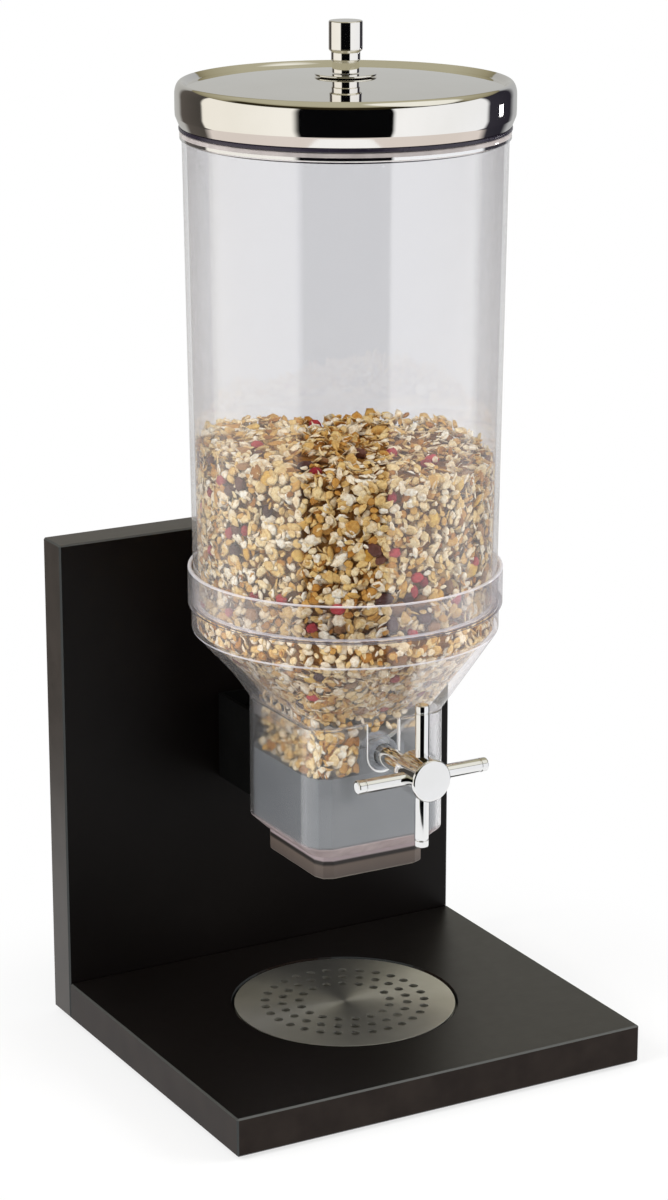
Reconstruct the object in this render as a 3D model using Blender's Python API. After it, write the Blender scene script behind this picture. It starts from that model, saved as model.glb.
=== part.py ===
# Table-top cereal dispenser: a black L-shaped board stand, a clear canister with a polished
# steel lid, a clear hopper, and a portion wheel in a square outlet, turned by a cross handle.
# Metres, +Z up. The front faces -Y. The origin is under the middle of the stand, on the table.

import math

import bmesh
import bpy
from mathutils import Matrix, Vector

# Driving dimensions of the whole dispenser
STAND_W = 0.220  # width of both boards
BASE_D = 0.182  # depth of the base board in front of the back panel
PANEL_H = 0.246  # height of the back panel board
BOARD_T = 0.019  # thickness of both boards
AXIS_TO_PANEL = 0.0855  # from the back panel's face to the canister's axis
BOWL_SPACE = 0.0777  # free height between the base board and the spout

# Clearances
GAP = 0.0003  # between pieces that touch or sit on each other
SLIP = 0.0005  # between pieces that slide into each other
CUT = 0.002  # how far a cutter runs past the face it cuts

# Steps round a full turn
FINE = 48
ROUND = 32
SMALL = 12

# Boards and what joins them
ARRIS = 0.0008
FOOT_R = 0.009
FOOT_T = 0.0015
FOOT_INSET = 0.022
SCREW_R = 0.0025
SCREW_HEAD_R = 0.0045
SCREW_HEAD_T = 0.0030
SCREW_LENGTH = 0.046
SCREW_INSET = 0.030
DOWEL_R = 0.0040
DOWEL_LENGTH = 0.030
DOWEL_IN_PANEL = 0.012
DOWEL_INSET = 0.065

# Crumb tray in the base board
TRAY_R = 0.0555
TRAY_GAP = 0.0007
LEDGE_DEPTH = 0.0030
WELL_R = 0.0500
WELL_DEPTH = 0.0105
DISH_T = 0.0008
PLATE_T = 0.0012
HOLE_R = 0.00225
HOLE_PITCH = 0.0085
HOLE_RING_R = 0.0395
HOLE_RINGS = 3
HOLE_SIDES = 6

# Square outlet: the clear housing and the grey cradle inside it
HOUSING_HALF = 0.0375
HOUSING_CORNER = 0.0130
HOUSING_WALL = 0.0020
HOUSING_H = 0.0600
HOUSING_FOOT_H = 0.0060
LIP_HALF = 0.0292
LIP_H = 0.0120
CRADLE_DROP = 0.0090
EAR_HALF = 0.0125
EAR_RISE = 0.0040
CHAMBER_R = 0.0315
CHAMBER_HALF = 0.0302
CHUTE_TOP_X = 0.0190
CHUTE_BOTTOM_X = 0.0255
CHUTE_HALF_Y = 0.0255

# Steel bracket between the back panel and the housing
BRACKET_T = 0.0020
BRACKET_W = 0.0500
BRACKET_H = 0.0440
BRACKET_TAB = 0.0140
BOSS_R = 0.0050
BOSS_LENGTH = 0.0060
BOSS_X = 0.0175
BOSS_RISE = 0.0110
BOSS_PITCH = 0.0220
SMALL_SCREW_R = 0.0017
SMALL_HEAD_R = 0.0034
SMALL_HEAD_T = 0.0018
SMALL_SCREW_LENGTH = 0.0070
WALL_SCREW_LENGTH = 0.0140
WALL_SCREW_X = 0.0065
WALL_SCREW_INSET = 0.0090

# Portion wheel, shaft and bushes; lengths along the shaft are counted forward from the canister's axis
SHAFT_DROP = 0.0160
SHAFT_R = 0.0050
SHAFT_REAR = 0.0425
BUSH_R = 0.0080
BUSH_FLANGE_R = 0.0094
BUSH_FLANGE_T = 0.0010
VANES = 6
VANE_R = 0.0305
VANE_T = 0.0022
WHEEL_HUB_R = 0.0085
PIN_R = 0.0012
CLIP_R = 0.0079
CLIP_T = 0.0010
CLIP_GROOVE_DEPTH = 0.0008
CLIP_MOUTH_DEGREES = 70

# Cross handle
HUB_R = 0.0102
HUB_FRONT = 0.0826
HUB_LENGTH = 0.0186
HUB_BORE_DEPTH = 0.0130
HUB_CHAMFER = 0.0006
SPOKE_R = 0.0034
SPOKE_TIP = 0.0348
SPOKE_ROOT = 0.0058
SPOKE_SETBACK = 0.0096
SPOKE_GROOVE_FROM_TIP = 0.0034
SPOKE_GROOVE_W = 0.0007
SPOKE_GROOVE_DEPTH = 0.0004
SPOKE_CHAMFER = 0.0005
GRUB_R = 0.0012
GRUB_LENGTH = 0.0042
GRUB_SETBACK = 0.0156

# Hopper: collar, ring, cone and the square spigot that plugs into the housing
COLLAR_R = 0.0750
COLLAR_H = 0.0185
RING_R = 0.0733
RING_H = 0.0120
CONE_H = 0.0385
HOPPER_WALL = 0.0022
COLLAR_WALL = 0.0020
SPIGOT_WALL = 0.0020

# Canister
CAN_BOTTOM_R = 0.0722
CAN_TOP_R = 0.0752
CAN_H = 0.2240
CAN_WALL = 0.0022
BEAD_R = 0.0762
BEAD_H = 0.0039

# Lid, its seal and its knob
SEAL_T = 0.0030
SEAL_R = 0.0766
SEAL_WALL = 0.0022
SEAL_PLUG = 0.0055
SEAL_GRIP_H = 0.0035
SEAL_GRIP_T = 0.0016
LID_EDGE_R = 0.0770
LID_R = 0.0783
LID_RIM_R = 0.0752
LID_VALLEY_R = 0.0724
LID_T = 0.0009
LID_LIP = 0.0060
LID_SKIRT = 0.0130
LID_SHOULDER = 0.0058
LID_VALLEY = 0.0023
LID_DOME = 0.0043
WASHER_R = 0.0143
WASHER_T = 0.0009
KNOB_H = 0.0235
KNOB_HEAD_R = 0.0078
KNOB_HEAD_H = 0.0135
KNOB_NECK_R = 0.0067
KNOB_FOOT_R = 0.0063
KNOB_FOOT_H = 0.0052
KNOB_CHAMFER = 0.0006
KNOB_SCREW_R = 0.0020
KNOB_SCREW_DEPTH = 0.0100
KNOB_SCREW_HEAD_R = 0.0042
KNOB_SCREW_HEAD_T = 0.0024

# Places that follow from the sizes
BOARD_Z = FOOT_T + GAP
BASE_TOP_Z = BOARD_Z + BOARD_T
FRONT_Y = -(BASE_D + BOARD_T) / 2
PANEL_FACE_Y = FRONT_Y + BASE_D
BACK_Y = PANEL_FACE_Y + BOARD_T
AXIS_Y = PANEL_FACE_Y - AXIS_TO_PANEL
LEDGE_Z = BASE_TOP_Z - LEDGE_DEPTH
DISH_TOP_Z = LEDGE_Z + GAP + DISH_T
HOUSING_INNER = HOUSING_HALF - HOUSING_WALL
CRADLE_HALF = HOUSING_INNER - SLIP
LIP_BOTTOM_Z = BASE_TOP_Z + BOWL_SPACE
HOUSING_BOTTOM_Z = LIP_BOTTOM_Z + LIP_H
HOUSING_TAPER_Z = HOUSING_BOTTOM_Z + HOUSING_FOOT_H
HOUSING_TOP_Z = HOUSING_TAPER_Z + HOUSING_H
SHAFT_Z = HOUSING_TOP_Z - SHAFT_DROP
NOTCH_R = BUSH_R + GAP
CRADLE_TOP_Z = SHAFT_Z - CRADLE_DROP
WHEEL_HALF = CHAMBER_HALF - GAP - BUSH_FLANGE_T - SLIP
BRACKET_BOTTOM_Z = HOUSING_TAPER_Z
RING_BOTTOM_Z = HOUSING_TOP_Z + CONE_H
COLLAR_BOTTOM_Z = RING_BOTTOM_Z + RING_H
COLLAR_TOP_Z = COLLAR_BOTTOM_Z + COLLAR_H
CAN_BOTTOM_Z = COLLAR_BOTTOM_Z + SLIP + GAP
CAN_TOP_Z = CAN_BOTTOM_Z + CAN_H
SEAL_BOTTOM_Z = CAN_TOP_Z + GAP
LID_BOTTOM_Z = SEAL_BOTTOM_Z + SEAL_T + GAP
LID_RIM_Z = LID_BOTTOM_Z + LID_SKIRT + LID_SHOULDER
LID_TOP_Z = LID_RIM_Z - LID_VALLEY + LID_DOME
WASHER_Z = LID_TOP_Z + GAP
KNOB_Z = WASHER_Z + WASHER_T + GAP

ARC_SHARES = (0.0, 0.25, 0.5, 0.75, 1.0)
MERGE = 1e-6
SHARP_ANGLE = math.radians(32)


def clear_scene():
    for obj in list(bpy.data.objects):
        bpy.data.objects.remove(obj, do_unlink=True)


def linear(channel):
    """One sRGB channel, 0 to 1, as the linear value a shader takes."""
    return channel / 12.92 if channel <= 0.04045 else ((channel + 0.055) / 1.055) ** 2.4


def material(name, srgb, roughness, metallic=0.0, alpha=1.0):
    made = bpy.data.materials.new(name)
    made.use_nodes = True
    shader = made.node_tree.nodes["Principled BSDF"]
    colour = (*(linear(channel) for channel in srgb), 1.0)
    shader.inputs["Base Color"].default_value = colour
    shader.inputs["Roughness"].default_value = roughness
    shader.inputs["Metallic"].default_value = metallic
    shader.inputs["Alpha"].default_value = alpha
    made.diffuse_color = (*srgb, alpha)
    return made


def empty(name, location, rotation=(0, 0, 0)):
    made = bpy.data.objects.new(name, None)
    made.location = location
    made.rotation_euler = rotation
    bpy.context.scene.collection.objects.link(made)
    return made


def finish(name, bm, finish_material, parent=None, location=(0, 0, 0), rotation=(0, 0, 0)):
    """Turns a bmesh into a placed object, with its faces out and its round faces smooth."""
    bmesh.ops.remove_doubles(bm, verts=bm.verts, dist=MERGE)
    bmesh.ops.recalc_face_normals(bm, faces=bm.faces)
    mesh = bpy.data.meshes.new(name)
    bm.to_mesh(mesh)
    bm.free()
    mesh.shade_smooth()
    mesh.set_sharp_from_angle(angle=SHARP_ANGLE)
    obj = bpy.data.objects.new(name, mesh)
    if finish_material:
        mesh.materials.append(finish_material)
    obj.location = location
    obj.rotation_euler = rotation
    obj.parent = parent
    bpy.context.scene.collection.objects.link(obj)
    return obj


def turned(profile, steps=ROUND):
    """A bmesh turned round Z from (radius, height) points, a closed outline or one that ends on the axis."""
    bm = bmesh.new()
    corners = [bm.verts.new((radius, 0, height)) for radius, height in profile]
    last = corners[-1]
    pairs = list(zip(corners, corners[1:]))
    if profile[0][0] > 0 or profile[-1][0] > 0:
        pairs.append((last, corners[0]))
    edges = [bm.edges.new(pair) for pair in pairs]
    bmesh.ops.spin(
        bm, geom=corners + edges, cent=(0, 0, 0), axis=(0, 0, 1), angle=math.tau, steps=steps
    )
    return bm


def rod_profile(radius, start, end, chamfer=0.0):
    """The outline of a plain rod from start to end along its axis, with both edges chamfered."""
    return (
        (0, start),
        (radius - chamfer, start),
        (radius, start + chamfer),
        (radius, end - chamfer),
        (radius - chamfer, end),
        (0, end),
    )


def circle(radius, z):
    """A section for skin: FINE points on a circle."""
    return [
        (radius * math.cos(math.tau * i / FINE), radius * math.sin(math.tau * i / FINE), z)
        for i in range(FINE)
    ]


def rounded_square(half, corner, z):
    """A section for skin: FINE points on a square with rounded corners, at even angles."""
    points = []
    centre = half - corner
    for i in range(FINE):
        angle = math.tau * i / FINE
        direction = Vector((math.cos(angle), math.sin(angle)))
        across, along = sorted((abs(direction.x), abs(direction.y)))
        reach = half / along
        if reach * across > centre:
            middle = Vector((centre, centre))
            ray = Vector((along, across))
            step = middle.dot(ray)
            reach = step + math.sqrt(step * step - middle.dot(middle) + corner * corner)
        points.append((reach * direction.x, reach * direction.y, z))
    return points


def skin(sections, ring=True):
    """A bmesh over a row of equal sections: a closed ring of walls, or a solid with flat ends."""
    bm = bmesh.new()
    loops = [[bm.verts.new(point) for point in section] for section in sections]
    pairs = list(zip(loops, loops[1:]))
    if ring:
        pairs.append((loops[-1], loops[0]))
    for lower, upper in pairs:
        for i in range(len(lower)):
            j = (i + 1) % len(lower)
            bm.faces.new((lower[i], lower[j], upper[j], upper[i]))
    if not ring:
        bm.faces.new(reversed(loops[0]))
        bm.faces.new(loops[-1])
    return bm


def extruded(outline, start, end):
    """A bmesh of an (x, y) outline pushed along Z from start to end."""
    return skin([[(x, y, z) for x, y in outline] for z in (start, end)], ring=False)


def add_block(bm, low, high):
    """Adds a box between two corners to a bmesh, and returns the bmesh."""
    low, high = Vector(low), Vector(high)
    size = Matrix.Diagonal((*(high - low), 1))
    bmesh.ops.create_cube(bm, size=1, matrix=Matrix.Translation((low + high) / 2) @ size)
    return bm


def add_rod(bm, radius, start, end, steps=SMALL):
    """Adds a rod between two points to a cutter's bmesh."""
    start, end = Vector(start), Vector(end)
    run = end - start
    turn = run.to_track_quat("Z", "Y").to_matrix().to_4x4()
    bmesh.ops.create_cone(
        bm,
        cap_ends=True,
        segments=steps,
        radius1=radius,
        radius2=radius,
        depth=run.length,
        matrix=Matrix.Translation((start + end) / 2) @ turn,
    )


def cut(target, name, bm, parent=None, location=(0, 0, 0)):
    """Cuts a bmesh out of target with a Boolean, and keeps the cutter as a hidden helper."""
    cutter = finish(name, bm, None, parent, location)
    cutter.hide_render = True
    cutter.display_type = "WIRE"
    modifier = target.modifiers.new(name, "BOOLEAN")
    modifier.operation = "DIFFERENCE"
    modifier.solver = "EXACT"
    modifier.object = cutter


def join(target, name, bm, parent=None):
    """Joins a bmesh to target with a Boolean union."""
    tool = finish(name, bm, None, parent)
    tool.hide_render = True
    tool.display_type = "WIRE"
    modifier = target.modifiers.new(name, "BOOLEAN")
    modifier.operation = "UNION"
    modifier.solver = "EXACT"
    modifier.object = tool


def soften(obj, width):
    """Breaks the sharp edges of a board."""
    bevel = obj.modifiers.new("arris", "BEVEL")
    bevel.width = width
    bevel.segments = 1
    bevel.limit_method = "ANGLE"


def joint_places():
    """Where the boards are screwed and dowelled together: the height and the x of each."""
    middle = BOARD_Z + BOARD_T / 2
    screw_x = STAND_W / 2 - SCREW_INSET
    dowel_x = STAND_W / 2 - DOWEL_INSET
    screws = {"left": -screw_x, "middle": 0.0, "right": screw_x}
    dowels = {"left": -dowel_x, "right": dowel_x}
    return middle, screws, dowels


def wall_screw_heights():
    """The heights of the bracket's upper and lower wall screws."""
    return (
        BRACKET_BOTTOM_Z + WALL_SCREW_INSET,
        BRACKET_BOTTOM_Z + BRACKET_H - WALL_SCREW_INSET,
    )


def boss_places():
    """The x and z of the housing's four screw bosses, each with its name."""
    lower = BRACKET_BOTTOM_Z + BOSS_RISE
    rows = {"lower": lower, "upper": lower + BOSS_PITCH}
    sides = {"left": -BOSS_X, "right": BOSS_X}
    return {f"{row}_{side}": (x, z) for row, z in rows.items() for side, x in sides.items()}


def make_boards(black_board):
    """The back panel and the base board, with their joints, the tray pocket and the bracket's pilots."""
    half = STAND_W / 2
    panel = finish(
        "back_panel",
        add_block(
            bmesh.new(), (-half, PANEL_FACE_Y, BOARD_Z), (half, BACK_Y, BOARD_Z + PANEL_H)
        ),
        black_board,
    )
    base = finish(
        "base_board",
        add_block(
            bmesh.new(), (-half, FRONT_Y, BOARD_Z), (half, PANEL_FACE_Y - GAP, BASE_TOP_Z)
        ),
        black_board,
    )
    soften(panel, ARRIS)
    soften(base, ARRIS)

    middle, screws, dowels = joint_places()
    in_panel, in_base = bmesh.new(), bmesh.new()
    head_floor = BACK_Y - SCREW_HEAD_T - GAP
    tip = BACK_Y - SCREW_LENGTH - GAP
    for x in screws.values():
        add_rod(in_panel, SCREW_R + GAP, (x, PANEL_FACE_Y - CUT, middle), (x, BACK_Y + CUT, middle))
        add_rod(in_base, SCREW_R + GAP, (x, tip, middle), (x, PANEL_FACE_Y + CUT, middle))
    counterbores = bmesh.new()
    for x in screws.values():
        add_rod(
            counterbores, SCREW_HEAD_R + GAP, (x, head_floor, middle), (x, BACK_Y + CUT, middle)
        )
    for x in dowels.values():
        panel_end = PANEL_FACE_Y + DOWEL_IN_PANEL + GAP
        base_end = PANEL_FACE_Y + DOWEL_IN_PANEL - DOWEL_LENGTH - GAP
        add_rod(in_panel, DOWEL_R + GAP, (x, PANEL_FACE_Y - CUT, middle), (x, panel_end, middle))
        add_rod(in_base, DOWEL_R + GAP, (x, base_end, middle), (x, PANEL_FACE_Y + CUT, middle))
    pilot_end = PANEL_FACE_Y - GAP - BRACKET_T + WALL_SCREW_LENGTH + GAP
    for z in wall_screw_heights():
        for x in (-WALL_SCREW_X, WALL_SCREW_X):
            add_rod(in_panel, SMALL_SCREW_R + GAP, (x, PANEL_FACE_Y - CUT, z), (x, pilot_end, z))
    cut(panel, "panel_holes", in_panel)
    cut(panel, "panel_counterbores", counterbores)
    cut(base, "base_holes", in_base)

    well_floor = BASE_TOP_Z - WELL_DEPTH
    pocket = turned(
        (
            (0, well_floor),
            (WELL_R, well_floor),
            (WELL_R, LEDGE_Z),
            (TRAY_R + TRAY_GAP, LEDGE_Z),
            (TRAY_R + TRAY_GAP, BASE_TOP_Z + CUT),
            (0, BASE_TOP_Z + CUT),
        ),
        FINE,
    )
    cut(base, "tray_pocket", pocket, location=(0, AXIS_Y, 0))


def make_board_joints(steel, beech, rubber):
    """The screws and dowels that hold the boards together, and the pads they stand on."""
    middle, screws, dowels = joint_places()
    for side, x in screws.items():
        screw = turned(
            (
                (0, 0),
                (SCREW_HEAD_R, 0),
                (SCREW_HEAD_R, -SCREW_HEAD_T / 2),
                (SCREW_R, -SCREW_HEAD_T),
                (SCREW_R, SCREW_R - SCREW_LENGTH),
                (0, -SCREW_LENGTH),
            ),
            SMALL,
        )
        place = (x, BACK_Y - GAP, middle)
        finish(f"panel_screw_{side}", screw, steel, location=place, rotation=(-math.pi / 2, 0, 0))
    for side, x in dowels.items():
        dowel = turned(rod_profile(DOWEL_R, 0, DOWEL_LENGTH, DOWEL_R / 6), SMALL)
        place = (x, PANEL_FACE_Y + DOWEL_IN_PANEL, middle)
        finish(f"dowel_{side}", dowel, beech, location=place, rotation=(math.pi / 2, 0, 0))
    across = STAND_W / 2 - FOOT_INSET
    rows = {"front": FRONT_Y + FOOT_INSET, "rear": PANEL_FACE_Y - FOOT_INSET}
    for row, y in rows.items():
        for side, x in (("left", -across), ("right", across)):
            pad = turned(rod_profile(FOOT_R, 0, FOOT_T, FOOT_T / 4), SMALL)
            finish(f"foot_pad_{row}_{side}", pad, rubber, location=(x, y, 0))


def make_crumb_tray(brushed, mirror):
    """The dish that drops into the board's well, and the perforated plate that lies on its rim."""
    axis = empty("tray_axis", (0, AXIS_Y, 0))
    rim_z = LEDGE_Z + GAP
    floor_z = BASE_TOP_Z - WELL_DEPTH + GAP
    wall_r = WELL_R - TRAY_GAP
    dish = turned(
        (
            (0, floor_z),
            (wall_r, floor_z),
            (wall_r, rim_z),
            (TRAY_R, rim_z),
            (TRAY_R, DISH_TOP_Z),
            (wall_r - DISH_T, DISH_TOP_Z),
            (wall_r - DISH_T, floor_z + DISH_T),
            (0, floor_z + DISH_T),
        ),
        FINE,
    )
    finish("crumb_dish", dish, brushed, axis)
    plate_z = DISH_TOP_Z + GAP
    plate = finish(
        "crumb_plate",
        turned(rod_profile(TRAY_R, plate_z, plate_z + PLATE_T, PLATE_T / 5), FINE),
        mirror,
        axis,
    )
    holes = bmesh.new()
    for ring in range(HOLE_RINGS):
        radius = HOLE_RING_R - ring * HOLE_PITCH
        count = round(math.tau * radius / HOLE_PITCH)
        for i in range(count):
            angle = math.tau * i / count
            x, y = radius * math.cos(angle), radius * math.sin(angle)
            low, high = plate_z - CUT, plate_z + PLATE_T + CUT
            add_rod(holes, HOLE_R, (x, y, low), (x, y, high), HOLE_SIDES)
    cut(plate, "plate_holes", holes, axis)


def make_bracket(steel, screw_steel):
    """A folded steel bracket on the back panel, whose two tabs are screwed to the housing's bosses."""
    back = PANEL_FACE_Y - GAP
    front = AXIS_Y + HOUSING_HALF + BOSS_LENGTH + GAP
    half = BRACKET_W / 2
    inner = half - BRACKET_T
    tab_end = half - BRACKET_TAB
    right_side = (
        (half, back),
        (half, front),
        (tab_end, front),
        (tab_end, front + BRACKET_T),
        (inner, front + BRACKET_T),
        (inner, back - BRACKET_T),
    )
    outline = right_side + tuple((-x, y) for x, y in reversed(right_side))
    bracket = finish(
        "wall_bracket",
        extruded(outline, BRACKET_BOTTOM_Z, BRACKET_BOTTOM_Z + BRACKET_H),
        steel,
    )
    holes = bmesh.new()
    for x, z in boss_places().values():
        add_rod(
            holes, SMALL_SCREW_R + GAP, (x, front - CUT, z), (x, front + BRACKET_T + CUT, z)
        )
    for z in wall_screw_heights():
        for x in (-WALL_SCREW_X, WALL_SCREW_X):
            add_rod(
                holes, SMALL_SCREW_R + GAP, (x, back - BRACKET_T - CUT, z), (x, back + CUT, z)
            )
    cut(bracket, "bracket_holes", holes)

    def small_screw(name, place, length, into_wall):
        profile = (
            (0, SMALL_HEAD_T),
            (SMALL_HEAD_R * 0.7, SMALL_HEAD_T),
            (SMALL_HEAD_R, SMALL_HEAD_T * 0.4),
            (SMALL_HEAD_R, 0),
            (SMALL_SCREW_R, 0),
            (SMALL_SCREW_R, SMALL_SCREW_R - length),
            (0, -length),
        )
        quarter = math.pi / 2 if into_wall else -math.pi / 2
        screw = turned(profile, SMALL)
        finish(name, screw, screw_steel, location=place, rotation=(quarter, 0, 0))

    face = back - BRACKET_T - GAP
    for level, z in zip(("lower", "upper"), wall_screw_heights()):
        for side, x in (("left", -WALL_SCREW_X), ("right", WALL_SCREW_X)):
            small_screw(f"wall_screw_{level}_{side}", (x, face, z), WALL_SCREW_LENGTH, True)
    face = front + BRACKET_T + GAP
    for name, (x, z) in boss_places().items():
        small_screw(f"housing_screw_{name}", (x, face, z), SMALL_SCREW_LENGTH, False)


def make_housing(clear):
    """The clear square outlet housing, drawn in at its foot, with a U notch for each bush."""
    foot_inner = LIP_HALF + SLIP
    corner_inner = HOUSING_CORNER - HOUSING_WALL
    foot_corner = corner_inner - (HOUSING_INNER - foot_inner) / 2
    rows = (
        (HOUSING_HALF, HOUSING_CORNER, HOUSING_TOP_Z),
        (HOUSING_HALF, HOUSING_CORNER, HOUSING_TAPER_Z),
        (foot_inner + HOUSING_WALL, foot_corner + HOUSING_WALL, HOUSING_BOTTOM_Z),
        (foot_inner, foot_corner, HOUSING_BOTTOM_Z),
        (HOUSING_INNER, corner_inner, HOUSING_TAPER_Z),
        (HOUSING_INNER, corner_inner, HOUSING_TOP_Z),
    )
    axis = empty("outlet_axis", (0, AXIS_Y, 0))
    housing = finish(
        "outlet_housing", skin([rounded_square(*row) for row in rows]), clear, axis
    )
    bosses = bmesh.new()
    inside = HOUSING_HALF - HOUSING_WALL / 2
    for x, z in boss_places().values():
        add_rod(bosses, BOSS_R, (x, inside, z), (x, HOUSING_HALF + BOSS_LENGTH, z))
    join(housing, "bosses", bosses, axis)
    holes = bmesh.new()
    reach = HOUSING_HALF + BOSS_LENGTH + GAP + BRACKET_T + GAP - SMALL_SCREW_LENGTH - GAP
    for x, z in boss_places().values():
        add_rod(
            holes, SMALL_SCREW_R + GAP, (x, reach, z), (x, HOUSING_HALF + BOSS_LENGTH + CUT, z)
        )
    cut(housing, "boss_holes", holes, axis)
    cut(housing, "bush_notches", notch_cutter(), axis)
    return axis


def notch_cutter():
    """A long U-shaped bar through both walls: round under the bushes, open at the top."""
    top = HOUSING_TOP_Z + CUT
    outline = [(NOTCH_R, top - SHAFT_Z)]
    for i in range(SMALL // 2 + 1):
        angle = -math.pi * i / (SMALL // 2)
        outline.append((NOTCH_R * math.cos(angle), NOTCH_R * math.sin(angle)))
    outline.append((-NOTCH_R, top - SHAFT_Z))
    bm = extruded(outline, -HOUSING_HALF - CUT, HOUSING_HALF + CUT)
    turn = Matrix.Rotation(math.pi / 2, 4, "X")
    bmesh.ops.transform(bm, matrix=Matrix.Translation((0, 0, SHAFT_Z)) @ turn, verts=bm.verts)
    return bm


def make_cradle(grey, axis):
    """The grey cradle that cups the portion wheel and ends in the spout under the housing."""
    corner = HOUSING_CORNER - HOUSING_WALL - SLIP
    foot_corner = corner - (CRADLE_HALF - LIP_HALF) / 2
    shoulder_z = HOUSING_TAPER_Z + SLIP
    neck_z = HOUSING_BOTTOM_Z + SLIP
    rows = (
        (LIP_HALF - ARRIS, foot_corner - ARRIS, LIP_BOTTOM_Z),
        (LIP_HALF, foot_corner, LIP_BOTTOM_Z + ARRIS),
        (LIP_HALF, foot_corner, neck_z),
        (CRADLE_HALF, corner, shoulder_z),
        (CRADLE_HALF, corner, CRADLE_TOP_Z),
    )
    cradle = finish(
        "rotor_cradle",
        skin([rounded_square(*row) for row in rows], ring=False),
        grey,
        axis,
    )
    ears = bmesh.new()
    for side in (-1, 1):
        inner, outer = sorted((side * (CHAMBER_HALF - CUT), side * (CRADLE_HALF - GAP)))
        low = (-EAR_HALF, inner, CRADLE_TOP_Z - CUT)
        high = (EAR_HALF, outer, SHAFT_Z + EAR_RISE)
        add_block(ears, low, high)
    join(cradle, "ears", ears, axis)
    chamber = bmesh.new()
    add_rod(chamber, CHAMBER_R, (0, -CHAMBER_HALF, SHAFT_Z), (0, CHAMBER_HALF, SHAFT_Z), FINE)
    cut(cradle, "wheel_chamber", chamber, axis)
    throat_z = SHAFT_Z - CHAMBER_R
    levels = (
        (CHUTE_BOTTOM_X, LIP_BOTTOM_Z - CUT),
        (CHUTE_TOP_X, throat_z),
        (CHUTE_TOP_X, CRADLE_TOP_Z - CUT),
    )
    corners = ((-1, -1), (1, -1), (1, 1), (-1, 1))
    chute = skin([[(x * half, y * CHUTE_HALF_Y, z) for x, y in corners] for half, z in levels], False)
    cut(cradle, "chute", chute, axis)
    cut(cradle, "bush_saddles", notch_cutter(), axis)


def make_wheel(nylon, silicone, steel, dark_steel):
    """Bushes, shaft, pin, clip and the soft portion wheel. Local +Z is the shaft's forward way."""
    axis = empty("wheel_axis", (0, AXIS_Y, SHAFT_Z), (math.pi / 2, 0, 0))

    bore = SHAFT_R + GAP
    for name, side in (("front_bush", 1), ("rear_bush", -1)):
        flange = side * (CHAMBER_HALF - GAP)
        profile = (
            (bore, flange - side * BUSH_FLANGE_T),
            (BUSH_FLANGE_R, flange - side * BUSH_FLANGE_T),
            (BUSH_FLANGE_R, flange),
            (BUSH_R, flange),
            (BUSH_R, side * HOUSING_HALF),
            (bore, side * HOUSING_HALF),
        )
        finish(name, turned(profile), nylon, axis)

    shaft_front = HUB_FRONT - HUB_LENGTH + HUB_BORE_DEPTH - SLIP
    groove = SHAFT_R - CLIP_GROOVE_DEPTH
    clip_far = -(HOUSING_HALF + SLIP + CLIP_T)
    shaft = finish(
        "shaft",
        turned(
            (
                (0, -SHAFT_REAR),
                (groove, -SHAFT_REAR),
                (SHAFT_R, -SHAFT_REAR + CLIP_GROOVE_DEPTH),
                (SHAFT_R, clip_far - GAP),
                (groove, clip_far - GAP),
                (groove, clip_far + CLIP_T + GAP),
                (SHAFT_R, clip_far + CLIP_T + GAP),
                (SHAFT_R, shaft_front),
                (0, shaft_front),
            )
        ),
        steel,
        axis,
    )
    mouth = math.radians(CLIP_MOUTH_DEGREES) / 2
    sweep = [mouth + (math.tau - 2 * mouth) * i / SMALL for i in range(SMALL + 1)]
    inner = [((groove + GAP) * math.cos(a), (groove + GAP) * math.sin(a)) for a in reversed(sweep)]
    outline = [(CLIP_R * math.cos(a), CLIP_R * math.sin(a)) for a in sweep] + inner
    finish("shaft_clip", extruded(outline, clip_far, clip_far + CLIP_T), dark_steel, axis)

    star = []
    root = math.asin(VANE_T / 2 / WHEEL_HUB_R)
    tip = math.asin(VANE_T / 2 / VANE_R)
    for i in range(VANES):
        middle = math.tau * (i + 0.5) / VANES
        next_root = middle + math.tau / VANES - root
        for radius, angle in (
            (WHEEL_HUB_R, middle - root),
            (VANE_R, middle - tip),
            (VANE_R, middle + tip),
            (WHEEL_HUB_R, middle + root),
        ):
            star.append((radius * math.cos(angle), radius * math.sin(angle)))
        for share in ARC_SHARES[1:-1]:
            angle = middle + root + share * (next_root - middle - root)
            star.append((WHEEL_HUB_R * math.cos(angle), WHEEL_HUB_R * math.sin(angle)))
    wheel = finish("portion_wheel", extruded(star, -WHEEL_HALF, WHEEL_HALF), silicone, axis)
    hole = bmesh.new()
    add_rod(hole, bore, (0, 0, -WHEEL_HALF - CUT), (0, 0, WHEEL_HALF + CUT), ROUND)
    cut(wheel, "wheel_bore", hole, axis)

    pin_half = WHEEL_HUB_R - ARRIS
    for target in (wheel, shaft):
        hole = bmesh.new()
        add_rod(hole, PIN_R + GAP, (0, -WHEEL_HUB_R - CUT, 0), (0, WHEEL_HUB_R + CUT, 0), SMALL)
        cut(target, f"{target.name}_pin_hole", hole, axis)
    pin = turned(rod_profile(PIN_R, -pin_half, pin_half, PIN_R / 4), SMALL)
    finish("drive_pin", pin, dark_steel, axis, rotation=(math.pi / 2, 0, 0))
    return axis


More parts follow.
